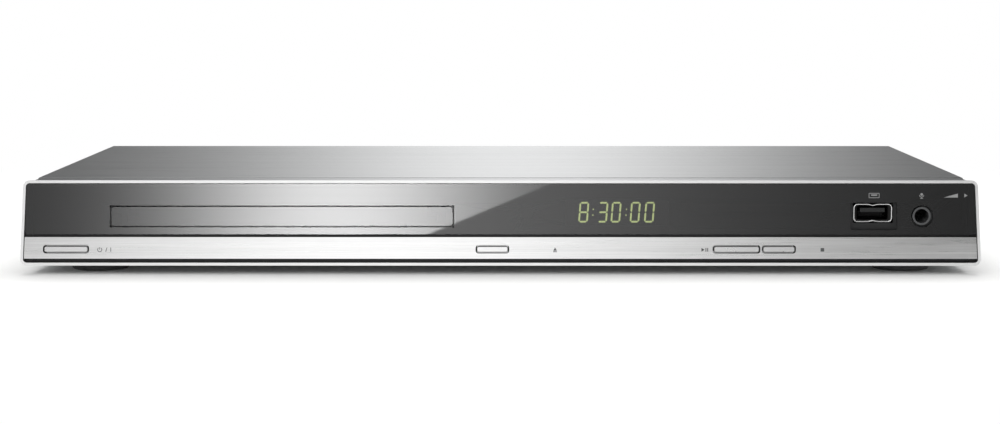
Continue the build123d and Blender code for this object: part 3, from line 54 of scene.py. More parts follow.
# one node, its settings, and what each input holds or is linked to
def addNode(tree, kind, inputs=None, **settings):
    node = tree.nodes.new("ShaderNode" + kind)
    for name, value in settings.items():
        setattr(node, name, value)
    for key, value in (inputs or {}).items():
        socket = node.inputs[key]
        if isinstance(value, bpy.types.NodeSocket):
            tree.links.new(value, socket)
        else:
            socket.default_value = value
    return node


def newMaterial(name):
    material = bpy.data.materials.new(name)
    material.use_nodes = True
    material.node_tree.nodes.clear()
    return material, material.node_tree


# the piece's own coordinates in metres, stretched by a scale for each axis
def ownPlace(tree, scale):
    place = addNode(tree, "TexCoord").outputs["Object"]
    return addNode(tree, "Mapping", {"Vector": place, "Scale": scale}).outputs["Vector"]


# the same, counted in steps of one size along every axis
def stepPlace(tree, size):
    return ownPlace(tree, [1 / size] * 3)


def noise(tree, place, detail=2.0, roughness=0.5):
    settings = {"Vector": place, "Scale": 1.0, "Detail": detail, "Roughness": roughness}
    return addNode(tree, "TexNoise", settings).outputs["Fac"]


# one step of arithmetic on numbers or sockets
def compute(tree, operation, *values):
    return addNode(tree, "Math", dict(enumerate(values)), operation=operation).outputs[0]


# X, Y and Z of the piece's own coordinates ("Object") or of its normals ("Normal")
def ownAxes(tree, kind="Object"):
    return addNode(tree, "SeparateXYZ", {0: addNode(tree, "TexCoord").outputs[kind]}).outputs


# a value that swings between two ends with a pattern
def swing(tree, pattern, low, high, patternLow=0.3, patternHigh=0.7):
    ends = {"Value": pattern, "From Min": patternLow, "From Max": patternHigh, "To Min": low, "To Max": high}
    return addNode(tree, "MapRange", ends).outputs["Result"]


def mixColours(tree, factor, first, second):
    return addNode(tree, "Mix", {0: factor, 6: first, 7: second}, data_type="RGBA").outputs[2]


def mixValues(tree, factor, first, second):
    return addNode(tree, "Mix", {0: factor, 2: first, 3: second}, data_type="FLOAT").outputs[0]


def surfaceOut(tree, shader):
    addNode(tree, "OutputMaterial", {"Surface": shader.outputs[0]})


# camera: the photograph's view, a little from above
cameraLook = {
    "lens": 75.85,                    # for a 36 mm wide sensor
    "place": (1.5 * mm, -1054.0 * mm, 132.4 * mm),
    "pitch": -6.27,                   # degrees, down
    "yaw": 0.1,
    "nearest": 10 * mm,
}
cameraData = bpy.data.cameras.new("camera")
cameraData.lens = cameraLook["lens"]
cameraData.clip_start = cameraLook["nearest"]
camera = bpy.data.objects.new("camera", cameraData)
camera.location = cameraLook["place"]
camera.rotation_euler = (math.radians(90 + cameraLook["pitch"]), 0, math.radians(cameraLook["yaw"]))
bpy.context.scene.collection.objects.link(camera)
bpy.context.scene.camera = camera
bpy.context.scene.view_settings.view_transform = "Standard"
print("camera placed")


# the front leans back, and everything on it is placed by x, height along it and depth behind its rim
frontFace = {"lean": math.radians(5.0), "footY": -108.0 * mm, "footZ": 4.0 * mm}


# point on the leaning front: along it by v, and behind its rim by depth, all in metres
def facePoint(x, v, depth):
    lean = frontFace["lean"]
    y = frontFace["footY"] + depth * math.cos(lean) + v * math.sin(lean)
    z = frontFace["footZ"] - depth * math.sin(lean) + v * math.cos(lean)
    return np.stack(np.broadcast_arrays(x, y, z), axis=-1)


# mesh of a grid of points, with both of its directions open or both closed
def gridMesh(name, points, closed=False):
    countU, countV = points.shape[:2]
    steps = [np.arange(count if closed else count - 1) for count in (countU, countV)]
    uu, vv = np.meshgrid(*steps, indexing="ij")
    nextU, nextV = (uu + 1) % countU, (vv + 1) % countV
    quads = np.stack([uu * countV + vv, nextU * countV + vv, nextU * countV + nextV, uu * countV + nextV], -1)
    faces = [tuple(q) for q in quads.reshape(-1, 4).tolist()]
    mesh = bpy.data.meshes.new(name)
    mesh.from_pydata(points.reshape(-1, 3).tolist(), [], faces)
    mesh.update()
    return mesh


def newObject(name, mesh, material):
    thing = bpy.data.objects.new(name, mesh)
    bpy.context.scene.collection.objects.link(thing)
    mesh.materials.append(material)
    return thing


# flat card or floor between two opposite corners, of which one axis is the same
def flatSheet(name, low, high, material):
    low, high = np.array(low, float), np.array(high, float)
    axes = [a for a in range(3) if high[a] != low[a]]
    points = np.tile(low, (2, 2, 1))
    points[1, :, axes[0]] = high[axes[0]]
    points[:, 1, axes[1]] = high[axes[1]]
    sheet = newObject(name, gridMesh(name, points), material)
    return sheet


# cards are there for mirrored rays alone, so they neither light nor hide anything
def onlyMirrored(card):
    card.visible_camera = False
    card.visible_diffuse = False
    card.visible_transmission = False
    card.visible_volume_scatter = False
    card.visible_shadow = False


# 1 for the rays that see the white background: straight, mirrored, or through glass
def seesBackground(tree):
    path = addNode(tree, "LightPath").outputs
    direct = compute(tree, "MAXIMUM", path["Is Camera Ray"], path["Is Glossy Ray"])
    return compute(tree, "MAXIMUM", direct, path["Is Transmission Ray"])


worldLook = {"white": "#FFFFFF", "level": 0.62}      # level is what lights matt surfaces
world = bpy.data.worlds.new("studio")
bpy.context.scene.world = world
world.use_nodes = True
tree = world.node_tree
tree.nodes.clear()
strength = swing(tree, seesBackground(tree), worldLook["level"], 1.0, 0.0, 1.0)
backdrop = addNode(tree, "Background", {"Color": toLinear(worldLook["white"]), "Strength": strength})
addNode(tree, "OutputWorld", {"Surface": backdrop.outputs[0]})

# lit paper close to the player, where its shadow falls, and plain white further out; its glow is held low
# under the player's footprint, which paints a darker shadow there
floorLook = {"colour": "#F4F4F3", "lift": 0.12, "paintedShadowLift": 0.01, "halfWidth": 0.205, "halfDepth": 0.1,
             "fadeIn": 0.05, "reach": 30.0, "litOut": 0.3, "whiteFrom": 0.75, "squash": 1.6}
floorMaterial, tree = newMaterial("paleFloorPaper")
matt = addNode(tree, "BsdfDiffuse", {"Color": toLinear(floorLook["colour"])})
seen = seesBackground(tree)
# how far outside the player's footprint a point lies, along the worse of x and y
spot = ownAxes(tree)
outX = compute(tree, "ABSOLUTE", spot["X"])
outX = compute(tree, "SUBTRACT", outX, floorLook["halfWidth"])
outY = compute(tree, "ABSOLUTE", spot["Y"])
outY = compute(tree, "SUBTRACT", outY, floorLook["halfDepth"])
outside = compute(tree, "MAXIMUM", outX, outY)
# painted shadow: the glow stays low under the footprint and rises outside it
lifted = swing(tree, outside, floorLook["paintedShadowLift"], floorLook["lift"], 0.0, floorLook["fadeIn"])
liftStrength = compute(tree, "MULTIPLY", lifted, seen)
lift = addNode(tree, "Emission", {"Strength": liftStrength})
lit = addNode(tree, "AddShader", {0: matt.outputs[0], 1: lift.outputs[0]})
away = addNode(tree, "VectorMath", {0: ownPlace(tree, (1, floorLook["squash"], 1))}, operation="LENGTH")
share = swing(tree, away.outputs["Value"], 0.0, 1.0, floorLook["litOut"], floorLook["whiteFrom"])
whiteShare = compute(tree, "MULTIPLY", share, seen)
plain = addNode(tree, "Emission", {"Strength": 1.0})
surfaceOut(tree, addNode(tree, "MixShader", {0: whiteShare, 1: lit.outputs[0], 2: plain.outputs[0]}))
reach = floorLook["reach"]
flatSheet("floor", (-reach, -reach, 0), (reach, reach, 0), floorMaterial)

lamps = {
    "overhead": {"place": (0.0, 0.55, 1.5), "aim": (0, 0, 0), "size": (1.8, 1.2), "watts": 17.0},
    "fill": {"place": (-0.5, -1.9, 1.1), "aim": (0, 0, 0.02), "size": (1.6, 1.0), "watts": 9.0},
}
for name, look in lamps.items():
    data = bpy.data.lights.new(name, "AREA")
    data.shape = "RECTANGLE"
    data.size, data.size_y = look["size"]
    data.energy = look["watts"]
    lamp = bpy.data.objects.new(name, data)
    lamp.location = look["place"]
    direction = np.array(look["aim"]) - np.array(look["place"])
    lamp.rotation_euler = (math.acos(-direction[2] / np.linalg.norm(direction)), 0,
                           math.atan2(direction[1], direction[0]) - math.pi / 2)
    lamp.visible_glossy = False
    bpy.context.scene.collection.objects.link(lamp)


# bell-shaped glow: low + rise * exp(-((x - middle) / spread)^2)
def bell(tree, x, look):
    offset = compute(tree, "SUBTRACT", x, look["middle"])
    share = compute(tree, "DIVIDE", offset, look["spread"])
    square = compute(tree, "MULTIPLY", share, share)
    negative = compute(tree, "MULTIPLY", square, -1.0)
    fall = compute(tree, "EXPONENT", negative)
    return compute(tree, "MULTIPLY_ADD", fall, look["rise"], look["low"])


# wide card, bright in its middle: brushed metal takes its sheen from it
def glowCard(name, look):
    material, tree = newMaterial(name + "Glow")
    place = ownAxes(tree)
    glow = addNode(tree, "Emission", {"Strength": bell(tree, place["X"], look)})
    surfaceOut(tree, glow)
    card = flatSheet(name, look["from"], look["to"], material)
    onlyMirrored(card)


frontCardLook = {"from": (-1.6, -1.3, 0.0), "to": (1.6, -1.3, 1.6),
                 "middle": -0.12, "spread": 0.33, "rise": 1.5, "low": 0.0}
glowCard("frontCard", frontCardLook)
# lies on the floor in front, for the lower half of what the strip mirrors
floorCardLook = {"from": (-1.6, -1.3, 0.001), "to": (1.6, -0.25, 0.001),
                 "middle": -0.08, "spread": 0.22, "rise": 1.5, "low": 0.0}
glowCard("floorCard", floorCardLook)
# stands behind, for the cover
backCardLook = {"from": (-2.5, 1.0, 0.0), "to": (2.5, 1.0, 1.3),
                "middle": 0.013, "spread": 0.265, "rise": 1.28, "low": 0.01}
glowCard("backCard", backCardLook)

# softbox that only the glossy front sees: its glow, and the slanting edge where it ends
softboxLook = {
    "from": (-0.9, -1.1, 0.03), "to": (0.9, -1.1, 0.22),
    "middle": -0.152, "spread": 0.134, "rise": 17.3, "low": 0.6,
    "edgeFoot": (-0.0553, 0.0778), "edgeHead": (0.0592, 0.1251),
    "softness": 0.0025, "beyond": {"middle": -0.25, "spread": 0.37, "rise": 1.68, "low": 0.46},
}


def makeSoftbox(look, seenBy):
    material, tree = newMaterial("softboxGlow")
    place = ownAxes(tree)
    footX, footZ = look["edgeFoot"]
    headX, headZ = look["edgeHead"]
    slope = (headX - footX) / (headZ - footZ)
    # where the slanting edge is at this height, and how far this point lies to its right
    up = compute(tree, "SUBTRACT", place["Z"], footZ)
    edge = compute(tree, "MULTIPLY_ADD", up, slope, footX)
    right = compute(tree, "SUBTRACT", place["X"], edge)
    outside = swing(tree, right, 0.0, 1.0, -look["softness"], look["softness"])
    inner = bell(tree, place["X"], look)
    outer = bell(tree, place["X"], look["beyond"])
    strength = mixValues(tree, outside, inner, outer)
    glow = addNode(tree, "Emission", {"Strength": strength})
    clear = addNode(tree, "BsdfTransparent")
    surfaceOut(tree, addNode(tree, "AddShader", {0: glow.outputs[0], 1: clear.outputs[0]}))
    softbox = flatSheet("softbox", look["from"], look["to"], material)
    onlyMirrored(softbox)
    receivers = bpy.data.collections.new("seesSoftbox")
    for thing in seenBy:
        receivers.objects.link(thing)
    softbox.light_linking.receiver_collection = receivers


softboxSees = [nodes["display_window"], nodes["tray_door"]]
print("studio set")


wallEdge = (-0.85, -0.6)     # Y of the normal where a facing surface ends and a wall begins


# the finish's colour and metal on what faces forward, and a dull dark on the cut sides around it, painted
# shade of the gaps
def paintShadeOnWalls(tree, colour, metal, walls):
    facing = ownAxes(tree, "Normal")["Y"]
    wall = swing(tree, facing, 0.0, 1.0, *wallEdge)
    metallic = mixValues(tree, wall, metal, 0.0)
    return mixColours(tree, wall, colour, toLinear(walls)), metallic


# moulded plastic or rubber: the tool's grain breaks up the shine, and the colour drifts a little
def mouldedFinish(name, look):
    material, tree = newMaterial(name)
    grain = noise(tree, stepPlace(tree, look["grain"]), 3.0, 0.6)
    drift = noise(tree, stepPlace(tree, look["drift"]))
    colour = mixColours(tree, drift, toLinear(look["colour"]), toLinear(look["paler"]))
    metallic = look.get("metallic", 0.0)
    # painted shade on the sides, where the look gives a dark colour for them
    if "walls" in look:
        colour, metallic = paintShadeOnWalls(tree, colour, metallic, look["walls"])
    bump = addNode(tree, "Bump", {"Distance": look["depth"], "Height": grain})
    surfaceOut(tree, addNode(tree, "BsdfPrincipled", {
        "Base Color": colour, "Metallic": metallic, "IOR": look["ior"],
        "Roughness": swing(tree, grain, *look["rough"]),
        "Normal": bump.outputs["Normal"]}))
    return material


# brushed metal: long fine scratches along one axis, so highlights stretch across them
def brushedFinish(name, look):
    material, tree = newMaterial(name)
    across, along = 1 / look["scratch"], 1 / look["scratchLength"]
    scale = [along if axis == look["along"] else across for axis in range(3)]
    fine = noise(tree, ownPlace(tree, scale), 3.0, 0.65)
    broad = noise(tree, ownPlace(tree, [s / look["bandWidth"] for s in scale]))
    streak = mixValues(tree, look["fineShare"], broad, fine)
    streak = swing(tree, streak, 0.0, 1.0)
    colour = mixColours(tree, streak, toLinear(look["colour"]), toLinear(look["paler"]))
    metallic = 1.0
    # painted shade on the sides, where the look gives a dark colour for them
    if "walls" in look:
        colour, metallic = paintShadeOnWalls(tree, colour, metallic, look["walls"])
    bump = addNode(tree, "Bump", {"Distance": look["depth"], "Height": fine})
    spread = addNode(tree, "CombineXYZ", dict(zip("XYZ", look["spreadAxis"])))
    surfaceOut(tree, addNode(tree, "BsdfPrincipled", {
        "Base Color": colour, "Metallic": metallic, "Anisotropic": look["anisotropic"],
        "Roughness": swing(tree, fine, *look["rough"]),
        "Tangent": spread.outputs[0], "Normal": bump.outputs["Normal"]}))
    return material


# plated, drawn or ground metal: even, with faint clouds where it was handled
def platedFinish(name, look):
    material, tree = newMaterial(name)
    cloud = noise(tree, stepPlace(tree, look["cloud"]), 3.0)
    colour = mixColours(tree, cloud, toLinear(look["colour"]), toLinear(look["paler"]))
    bump = addNode(tree, "Bump", {"Distance": look["depth"], "Height": cloud})
    surfaceOut(tree, addNode(tree, "BsdfPrincipled", {
        "Base Color": colour, "Metallic": 1.0,
        "Roughness": swing(tree, cloud, *look["rough"]),
        "Normal": bump.outputs["Normal"]}))
    return material


# hot-dip zinc: crystals a few millimetres across, each a slightly different grey and gloss
def spangledFinish(name, look):
    material, tree = newMaterial(name)
    cells = addNode(tree, "TexVoronoi", {"Vector": stepPlace(tree, look["crystal"]), "Scale": 1.0})
    shade = addNode(tree, "SeparateColor", {0: cells.outputs["Color"]}).outputs[0]
    colour = mixColours(tree, shade, toLinear(look["colour"]), toLinear(look["paler"]))
    surfaceOut(tree, addNode(tree, "BsdfPrincipled", {
        "Base Color": colour, "Metallic": 1.0,
        "Roughness": swing(tree, shade, *look["rough"], 0.0, 1.0)}))
    return material


# smoked clear acrylic, polished: nearly black, mirror-smooth, and what glows behind it shows through
def smokedFinish(name, look):
    material, tree = newMaterial(name)
    ripple = noise(tree, stepPlace(tree, look["ripple"]), 1.0)
    bump = addNode(tree, "Bump", {"Distance": look["depth"], "Height": ripple})
    surfaceOut(tree, addNode(tree, "BsdfPrincipled", {
        "Base Color": toLinear(look["colour"]), "Roughness": look["rough"], "IOR": look["ior"],
        "Transmission Weight": look["clear"], "Normal": bump.outputs["Normal"]}))
    return material


# clear lens or tube glass
def glassFinish(name, look):
    material, tree = newMaterial(name)
    dust = noise(tree, stepPlace(tree, look["dust"]), 4.0)
    surfaceOut(tree, addNode(tree, "BsdfPrincipled", {
        "Base Color": toLinear(look["colour"]), "IOR": look["ior"],
        "Roughness": swing(tree, dust, *look["rough"]),
        "Transmission Weight": look["clear"]}))
    return material


# circuit board: solder mask over copper tracks, which show as paler lines
def boardFinish(name, look):
    material, tree = newMaterial(name)
    place = stepPlace(tree, look["track"])
    tracks = addNode(tree, "TexBrick", {
        "Vector": place, "Scale": 1.0, "Mortar Size": look["gap"], "Mortar Smooth": 0.2,
        "Brick Width": look["run"], "Row Height": 1.0})
    colour = mixColours(tree, tracks.outputs["Fac"], toLinear(look["paler"]), toLinear(look["colour"]))
    bump = addNode(tree, "Bump", {"Distance": look["depth"], "Height": tracks.outputs["Fac"]})
    surfaceOut(tree, addNode(tree, "BsdfPrincipled", {
        "Base Color": colour, "IOR": look["ior"], "Roughness": look["rough"],
        "Normal": bump.outputs["Normal"]}))
    return material


# moulded insulating rings, one colour for each socket: read off x and height
def jackRingFinish(name, look):
    material, tree = newMaterial(name)
    place = ownAxes(tree)
    rows = []
    for row in look["rows"]:
        colour = toLinear(row[0])
        for border, following in zip(look["bordersX"], row[1:]):
            past = compute(tree, "GREATER_THAN", place["X"], border)
            colour = mixColours(tree, past, colour, toLinear(following))
        rows.append(colour)
    upper = compute(tree, "GREATER_THAN", place["Z"], look["borderZ"])
    grain = noise(tree, stepPlace(tree, look["grain"]), 3.0)
    surfaceOut(tree, addNode(tree, "BsdfPrincipled", {
        "Base Color": mixColours(tree, upper, rows[0], rows[1]), "IOR": look["ior"],
        "Roughness": swing(tree, grain, *look["rough"])}))
    return material


# painted frame of the front: its facing rim is a cut edge made near white, partly a painted highlight, and
# the sides that look inward are bare black
def rimFinish(name, look):
    material, tree = newMaterial(name)
    grain = noise(tree, stepPlace(tree, look["grain"]), 3.0, 0.6)
    drift = noise(tree, stepPlace(tree, look["drift"]))
    place, facing = ownAxes(tree), ownAxes(tree, "Normal")
    # depth behind the rim: y and z turned by the lean
    deep = compute(tree, "ADD", place["Y"], -frontFace["footY"])
    deep = compute(tree, "MULTIPLY", deep, math.cos(frontFace["lean"]))
    high = compute(tree, "ADD", place["Z"], -frontFace["footZ"])
    deep = compute(tree, "MULTIPLY_ADD", high, -math.sin(frontFace["lean"]), deep)
    nearFront = swing(tree, deep, 1.0, 0.0, *look["brightDeep"])
    frontward = swing(tree, facing["Y"], 1.0, 0.0, *look["frontward"])
    bright = compute(tree, "MULTIPLY", nearFront, frontward)
    # a wall looks inward where its normal points back at the middle of the front
    acrossX = compute(tree, "MULTIPLY", place["X"], look["sideShare"])
    inX = compute(tree, "MULTIPLY", facing["X"], acrossX)
    overZ = compute(tree, "ADD", place["Z"], -look["middleZ"])
    inward = compute(tree, "MULTIPLY_ADD", facing["Z"], overZ, inX)
    inner = swing(tree, inward, 1.0, 0.0, *look["inward"])
    sunk = compute(tree, "SUBTRACT", frontward, bright)
    bare = compute(tree, "MAXIMUM", inner, sunk)
    coat = swing(tree, bright, look["metallic"], look["metallicCutAndHighlight"], 0, 1)
    metallic = mixValues(tree, bare, coat, 0.0)
    painted = mixColours(tree, drift, toLinear(look["colour"]), toLinear(look["paler"]))
    # near white on the front of the rim: a cut edge, lightened as a painted highlight
    cutAndHighlight = mixColours(tree, bright, painted, toLinear(look["bright"]))
    bump = addNode(tree, "Bump", {"Distance": look["depth"], "Height": grain})
    surfaceOut(tree, addNode(tree, "BsdfPrincipled", {
        "Base Color": mixColours(tree, bare, cutAndHighlight, toLinear(look["bare"])), "Metallic": metallic,
        "IOR": look["ior"], "Roughness": swing(tree, grain, *look["rough"]),
        "Normal": bump.outputs["Normal"]}))
    return material


finishes = {
    # silver paint on moulded ABS: satin, even, with the sparkle of fine flake; its rim's near-white front is
    # a cut edge with a painted highlight
    "silver_plastic": (rimFinish, "silverPaintedAbs", {
        "colour": "#B4B5B6", "paler": "#BDBEBF", "bright": "#F6F6F6", "bare": "#0E0E0F",
        "grain": 0.5 * mm, "drift": 60 * mm, "depth": 0.0005 * mm, "rough": (0.3, 0.36), "ior": 1.5,
        "metallic": 0.9, "metallicCutAndHighlight": 0.45, "brightDeep": (0.9 * mm, 1.3 * mm), "frontward": (-0.75, -0.35),
        "middleZ": 22 * mm, "sideShare": 0.1, "inward": (-4.5 * mm, -1.5 * mm)}),
    # the same paint, glossier on the small caps; their sides are painted dark as shade in the gaps round them
    "button_silver": (mouldedFinish, "silverPaintedCap", {
        "colour": "#E8E8E8", "paler": "#F0F0F0", "grain": 6 * mm, "drift": 20 * mm,
        "depth": 0.0002 * mm, "rough": (0.27, 0.3), "ior": 1.5, "metallic": 0.9, "walls": "#1C1C1D"}),
    # aluminium strip brushed along its length; scratches of 0.1 mm are drawn at 0.45 mm to show; the sides of
    # its holes are painted dark as shade
    "brushed_aluminium": (brushedFinish, "brushedAluminium", {
        "colour": "#DEDEDE", "paler": "#F6F6F6", "scratch": 0.45 * mm, "scratchLength": 45 * mm,
        "fineShare": 0.6, "walls": "#161617", "bandWidth": 5.0, "depth": 0.0012 * mm,
        "rough": (0.26, 0.36), "anisotropic": 0.7, "along": 0, "spreadAxis": (0.0, 0.0, 1.0)}),
    # steel cover with a brushed, clear-lacquered face: grey, streaked along its width
    "cover_steel": (brushedFinish, "brushedCoverSteel", {
        "colour": "#BFC0C1", "paler": "#CCCDCD", "scratch": 0.6 * mm, "scratchLength": 70 * mm,
        "fineShare": 0.3, "bandWidth": 6.0, "depth": 0.0015 * mm,
        "rough": (0.26, 0.36), "anisotropic": 0.6, "along": 0, "spreadAxis": (0.0, 1.0, 0.0)}),
    # powder-coated steel: dull black with a fine orange peel
    "black_steel": (mouldedFinish, "powderCoatedSteel", {
        "colour": "#17181A", "paler": "#1F2022", "grain": 0.6 * mm, "drift": 40 * mm,
        "depth": 0.02 * mm, "rough": (0.5, 0.62), "ior": 1.5}),
    "galvanised_steel": (spangledFinish, "galvanisedSheet", {
        "colour": "#A9ACAF", "paler": "#C2C4C6", "crystal": 5 * mm, "rough": (0.36, 0.5)}),
    # zinc-plated screws: cold and bright
    "screw_steel": (platedFinish, "zincPlatedScrew", {
        "colour": "#BEC1C4", "paler": "#D2D4D6", "cloud": 1.5 * mm, "depth": 0.002 * mm,
        "rough": (0.22, 0.34)}),
    # ground steel rod: near mirror
    "rod_steel": (platedFinish, "groundRod", {
        "colour": "#C8C9CB", "paler": "#DADADC", "cloud": 2 * mm, "depth": 0.001 * mm, "rough": (0.1, 0.18)}),
    "nickel_shell": (platedFinish, "nickelPlate", {
        "colour": "#CFCBC2", "paler": "#DEDAD1", "cloud": 2 * mm, "depth": 0.001 * mm,
        "rough": (0.14, 0.24)}),
    "motor_can": (platedFinish, "drawnMotorCan", {
        "colour": "#B7B9BB", "paler": "#C9CACC", "cloud": 4 * mm, "depth": 0.002 * mm,
        "rough": (0.24, 0.36)}),
    # die-cast zinc of the pickup: grey and slightly grained
    "pickup_zinc": (platedFinish, "dieCastZinc", {
        "colour": "#77797D", "paler": "#8B8D90", "cloud": 0.8 * mm, "depth": 0.02 * mm,
        "rough": (0.42, 0.56)}),
    # extruded aluminium, bead-blasted
    "sink_aluminium": (platedFinish, "extrudedAluminium", {
        "colour": "#B9BBBD", "paler": "#C9CACB", "cloud": 0.6 * mm, "depth": 0.01 * mm, "rough": (0.4, 0.5)}),
    "window_acrylic": (smokedFinish, "smokedAcrylic", {
        "colour": "#4A4C4E", "rough": 0.015, "ior": 1.49, "clear": 1.0,
        "ripple": 90 * mm, "depth": 0.002 * mm}),
    "display_glass": (glassFinish, "displayTubeGlass", {
        "colour": "#20262A", "ior": 1.52, "rough": (0.03, 0.08), "clear": 0.0, "dust": 3 * mm}),
    "lens_glass": (glassFinish, "coatedLens", {
        "colour": "#B9C6E8", "ior": 1.5, "rough": (0.0, 0.04), "clear": 1.0, "dust": 1 * mm}),
    # plain black moulding with an eroded grain
    "black_plastic": (mouldedFinish, "blackAbs", {
        "colour": "#131415", "paler": "#1A1B1C", "grain": 0.35 * mm, "drift": 30 * mm,
        "depth": 0.012 * mm, "rough": (0.42, 0.56), "ior": 1.53}),
    "loader_abs": (mouldedFinish, "loaderAbs", {
        "colour": "#232426", "paler": "#2B2C2E", "grain": 0.4 * mm, "drift": 50 * mm,
        "depth": 0.015 * mm, "rough": (0.45, 0.6), "ior": 1.53}),
    "tray_abs": (mouldedFinish, "trayAbs", {
        "colour": "#2C2D2F", "paler": "#343537", "grain": 0.35 * mm, "drift": 60 * mm,
        "depth": 0.012 * mm, "rough": (0.4, 0.52), "ior": 1.53}),
    # unpigmented acetal: milky, waxy
    "acetal": (mouldedFinish, "naturalAcetal", {
        "colour": "#E6E4DA", "paler": "#F0EEE6", "grain": 0.5 * mm, "drift": 10 * mm,
        "depth": 0.002 * mm, "rough": (0.28, 0.36), "ior": 1.48}),
    "foot_rubber": (mouldedFinish, "footRubber", {
        "colour": "#4A4A4B", "paler": "#545455", "grain": 0.6 * mm, "drift": 8 * mm,
        "depth": 0.02 * mm, "rough": (0.7, 0.85), "ior": 1.52}),
    "ring_rubber": (mouldedFinish, "beltRubber", {
        "colour": "#161617", "paler": "#202021", "grain": 0.3 * mm, "drift": 5 * mm,
        "depth": 0.008 * mm, "rough": (0.6, 0.75), "ior": 1.52}),
    "chip_epoxy": (mouldedFinish, "chipEpoxy", {
        "colour": "#1E1F21", "paler": "#27282A", "grain": 0.15 * mm, "drift": 5 * mm,
        "depth": 0.004 * mm, "rough": (0.4, 0.5), "ior": 1.55}),
    "capacitor_sleeve": (mouldedFinish, "shrinkSleeve", {
        "colour": "#14204A", "paler": "#1C2A58", "grain": 2 * mm, "drift": 6 * mm,
        "depth": 0.01 * mm, "rough": (0.22, 0.32), "ior": 1.53}),
    "ferrite": (mouldedFinish, "groundFerrite", {
        "colour": "#4A4B4F", "paler": "#57585B", "grain": 0.3 * mm, "drift": 5 * mm,
        "depth": 0.01 * mm, "rough": (0.45, 0.6), "ior": 1.6}),
    "board": (boardFinish, "greenBoard", {
        "colour": "#123F22", "paler": "#2A6B3C", "track": 1.27 * mm, "gap": 0.18, "run": 14.0,
        "depth": 0.03 * mm, "rough": 0.3, "ior": 1.5}),
    "jack_colours": (jackRingFinish, "jackRingPlastic", {
        "rows": (("#C9A92B", "#E6E4DF", "#A3261F"), ("#2F7A3A", "#2B4E9B", "#A3261F")),
        "bordersX": (51 * mm, 65 * mm), "borderZ": 23.4 * mm,
        "grain": 0.4 * mm, "rough": (0.35, 0.45), "ior": 1.53}),
}
materials = {slot: make(name, look) for slot, (make, name, look) in finishes.items()}
for part in frame["record"]["subparts"]:
    node = nodes[part["node"]]
    node.data.materials.clear()
    node.data.materials.append(materials[part["material_slot"]])
# the microphone socket's collar: lighter moulding than the front around it
collarFinish = mouldedFinish("greyCollarAbs", {
    "colour": "#4C4D4E", "paler": "#565758", "grain": 0.4 * mm, "drift": 10 * mm,
    "depth": 0.002 * mm, "rough": (0.24, 0.32), "ior": 1.53})
nodes["mic_jack"].data.materials[0] = collarFinish
print("finishes on", len(nodes), "nodes")


# rounded rectangle: four quarter circles joined by straight runs, each run and arc with its own points;
# a dent pulls the middle of the two long runs inwards by dent * exp(-(across / dentWidth)^2)
def roundedLoop(halfWidth, halfHeight, radius, dent=0.0, dentWidth=1.0, arcCount=8, runCount=24):
    arc = np.linspace(0, math.pi / 2, arcCount)
    centres = [(1, 1), (-1, 1), (-1, -1), (1, -1)]
    parts = []
    for quarter, (right, up) in enumerate(centres):
        angle = arc + quarter * math.pi / 2
        middle = np.array([right * (halfWidth - radius), up * (halfHeight - radius)])
        parts.append(middle + radius * np.stack([np.cos(angle), np.sin(angle)], -1))
    joined = []
    for quarter in range(4):
        here, following = parts[quarter], parts[(quarter + 1) % 4]
        share = np.linspace(0, 1, runCount + 2)[1:-1, None]
        joined += [here, here[-1] * (1 - share) + following[0] * share]
    loop = np.concatenate(joined)
    flat = np.abs(loop[:, 1]) > halfHeight - 0.5 * radius
    loop[:, 1] -= flat * np.sign(loop[:, 1]) * dent * np.exp(-(loop[:, 0] / dentWidth) ** 2)
    return loop


# closed tube of changing section: each ring is a loop of (across, up) at its own depth
def ringPiece(name, rings, place, material):
    points = np.stack([place(loop[:, 0] * mm, loop[:, 1] * mm, depth * mm) for loop, depth in rings])
    piece = newObject(name, gridMesh(name, points, closed=True), material)
    for polygon in piece.data.polygons:
        polygon.use_smooth = True
    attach(piece, "base")
    return piece


portLook = {"x": 169.05, "z": 27.55, "frontY": -103.24, "backY": -88.9, "halfWidth": 8.95, "halfHeight": 4.35,
            "corner": 2.1, "bead": 0.36, "beadSteps": 12, "dent": 0.5, "dentWidth": 1.3, "wall": 0.3,
            "throatWidth": 6.4, "throatHeight": 2.65, "throatCorner": 0.5, "flare": 2.2}


# upright plane: across from the port's middle, up from it, and how far back
def portPoint(x, z, depth):
    x, y, z = x + portLook["x"] * mm, portLook["frontY"] * mm + depth, z + portLook["z"] * mm
    return np.stack(np.broadcast_arrays(x, y, z), axis=-1)


# round bead along the flared edge: offset and depth go round a circle of the bead's radius
def beadRings(look):
    rings = []
    for angle in np.linspace(0, 2 * math.pi, look["beadSteps"], endpoint=False):
        inset = look["bead"] * (1 - math.cos(angle))
        loop = roundedLoop(look["halfWidth"] - inset, look["halfHeight"] - inset, look["corner"] - inset,
                           look["dent"], look["dentWidth"])
        rings.append((loop, look["bead"] * (1 - math.sin(angle))))
    return rings


# funnel from the bead to the throat, back along the throat, and forward again one wall further out
def funnelRings(look):
    length, bead = look["backY"] - look["frontY"], look["bead"]
    mouth = (look["halfWidth"] - bead, look["halfHeight"] - bead, look["corner"] - bead)
    throat = (look["throatWidth"], look["throatHeight"], look["throatCorner"])
    inner = [(mouth, bead), (throat, look["flare"]), (throat, length)]
    rings = []
    for (width, height, corner), depth in inner:
        dent = look["dent"] if depth == bead else 0.0
        rings.append((roundedLoop(width, height, corner, dent, look["dentWidth"]), depth))
    for (width, height, corner), depth in inner[::-1]:
        loop = roundedLoop(width + look["wall"], height + look["wall"], corner + look["wall"])
        rings.append((loop, depth + look["wall"] * (depth < length)))
    return rings


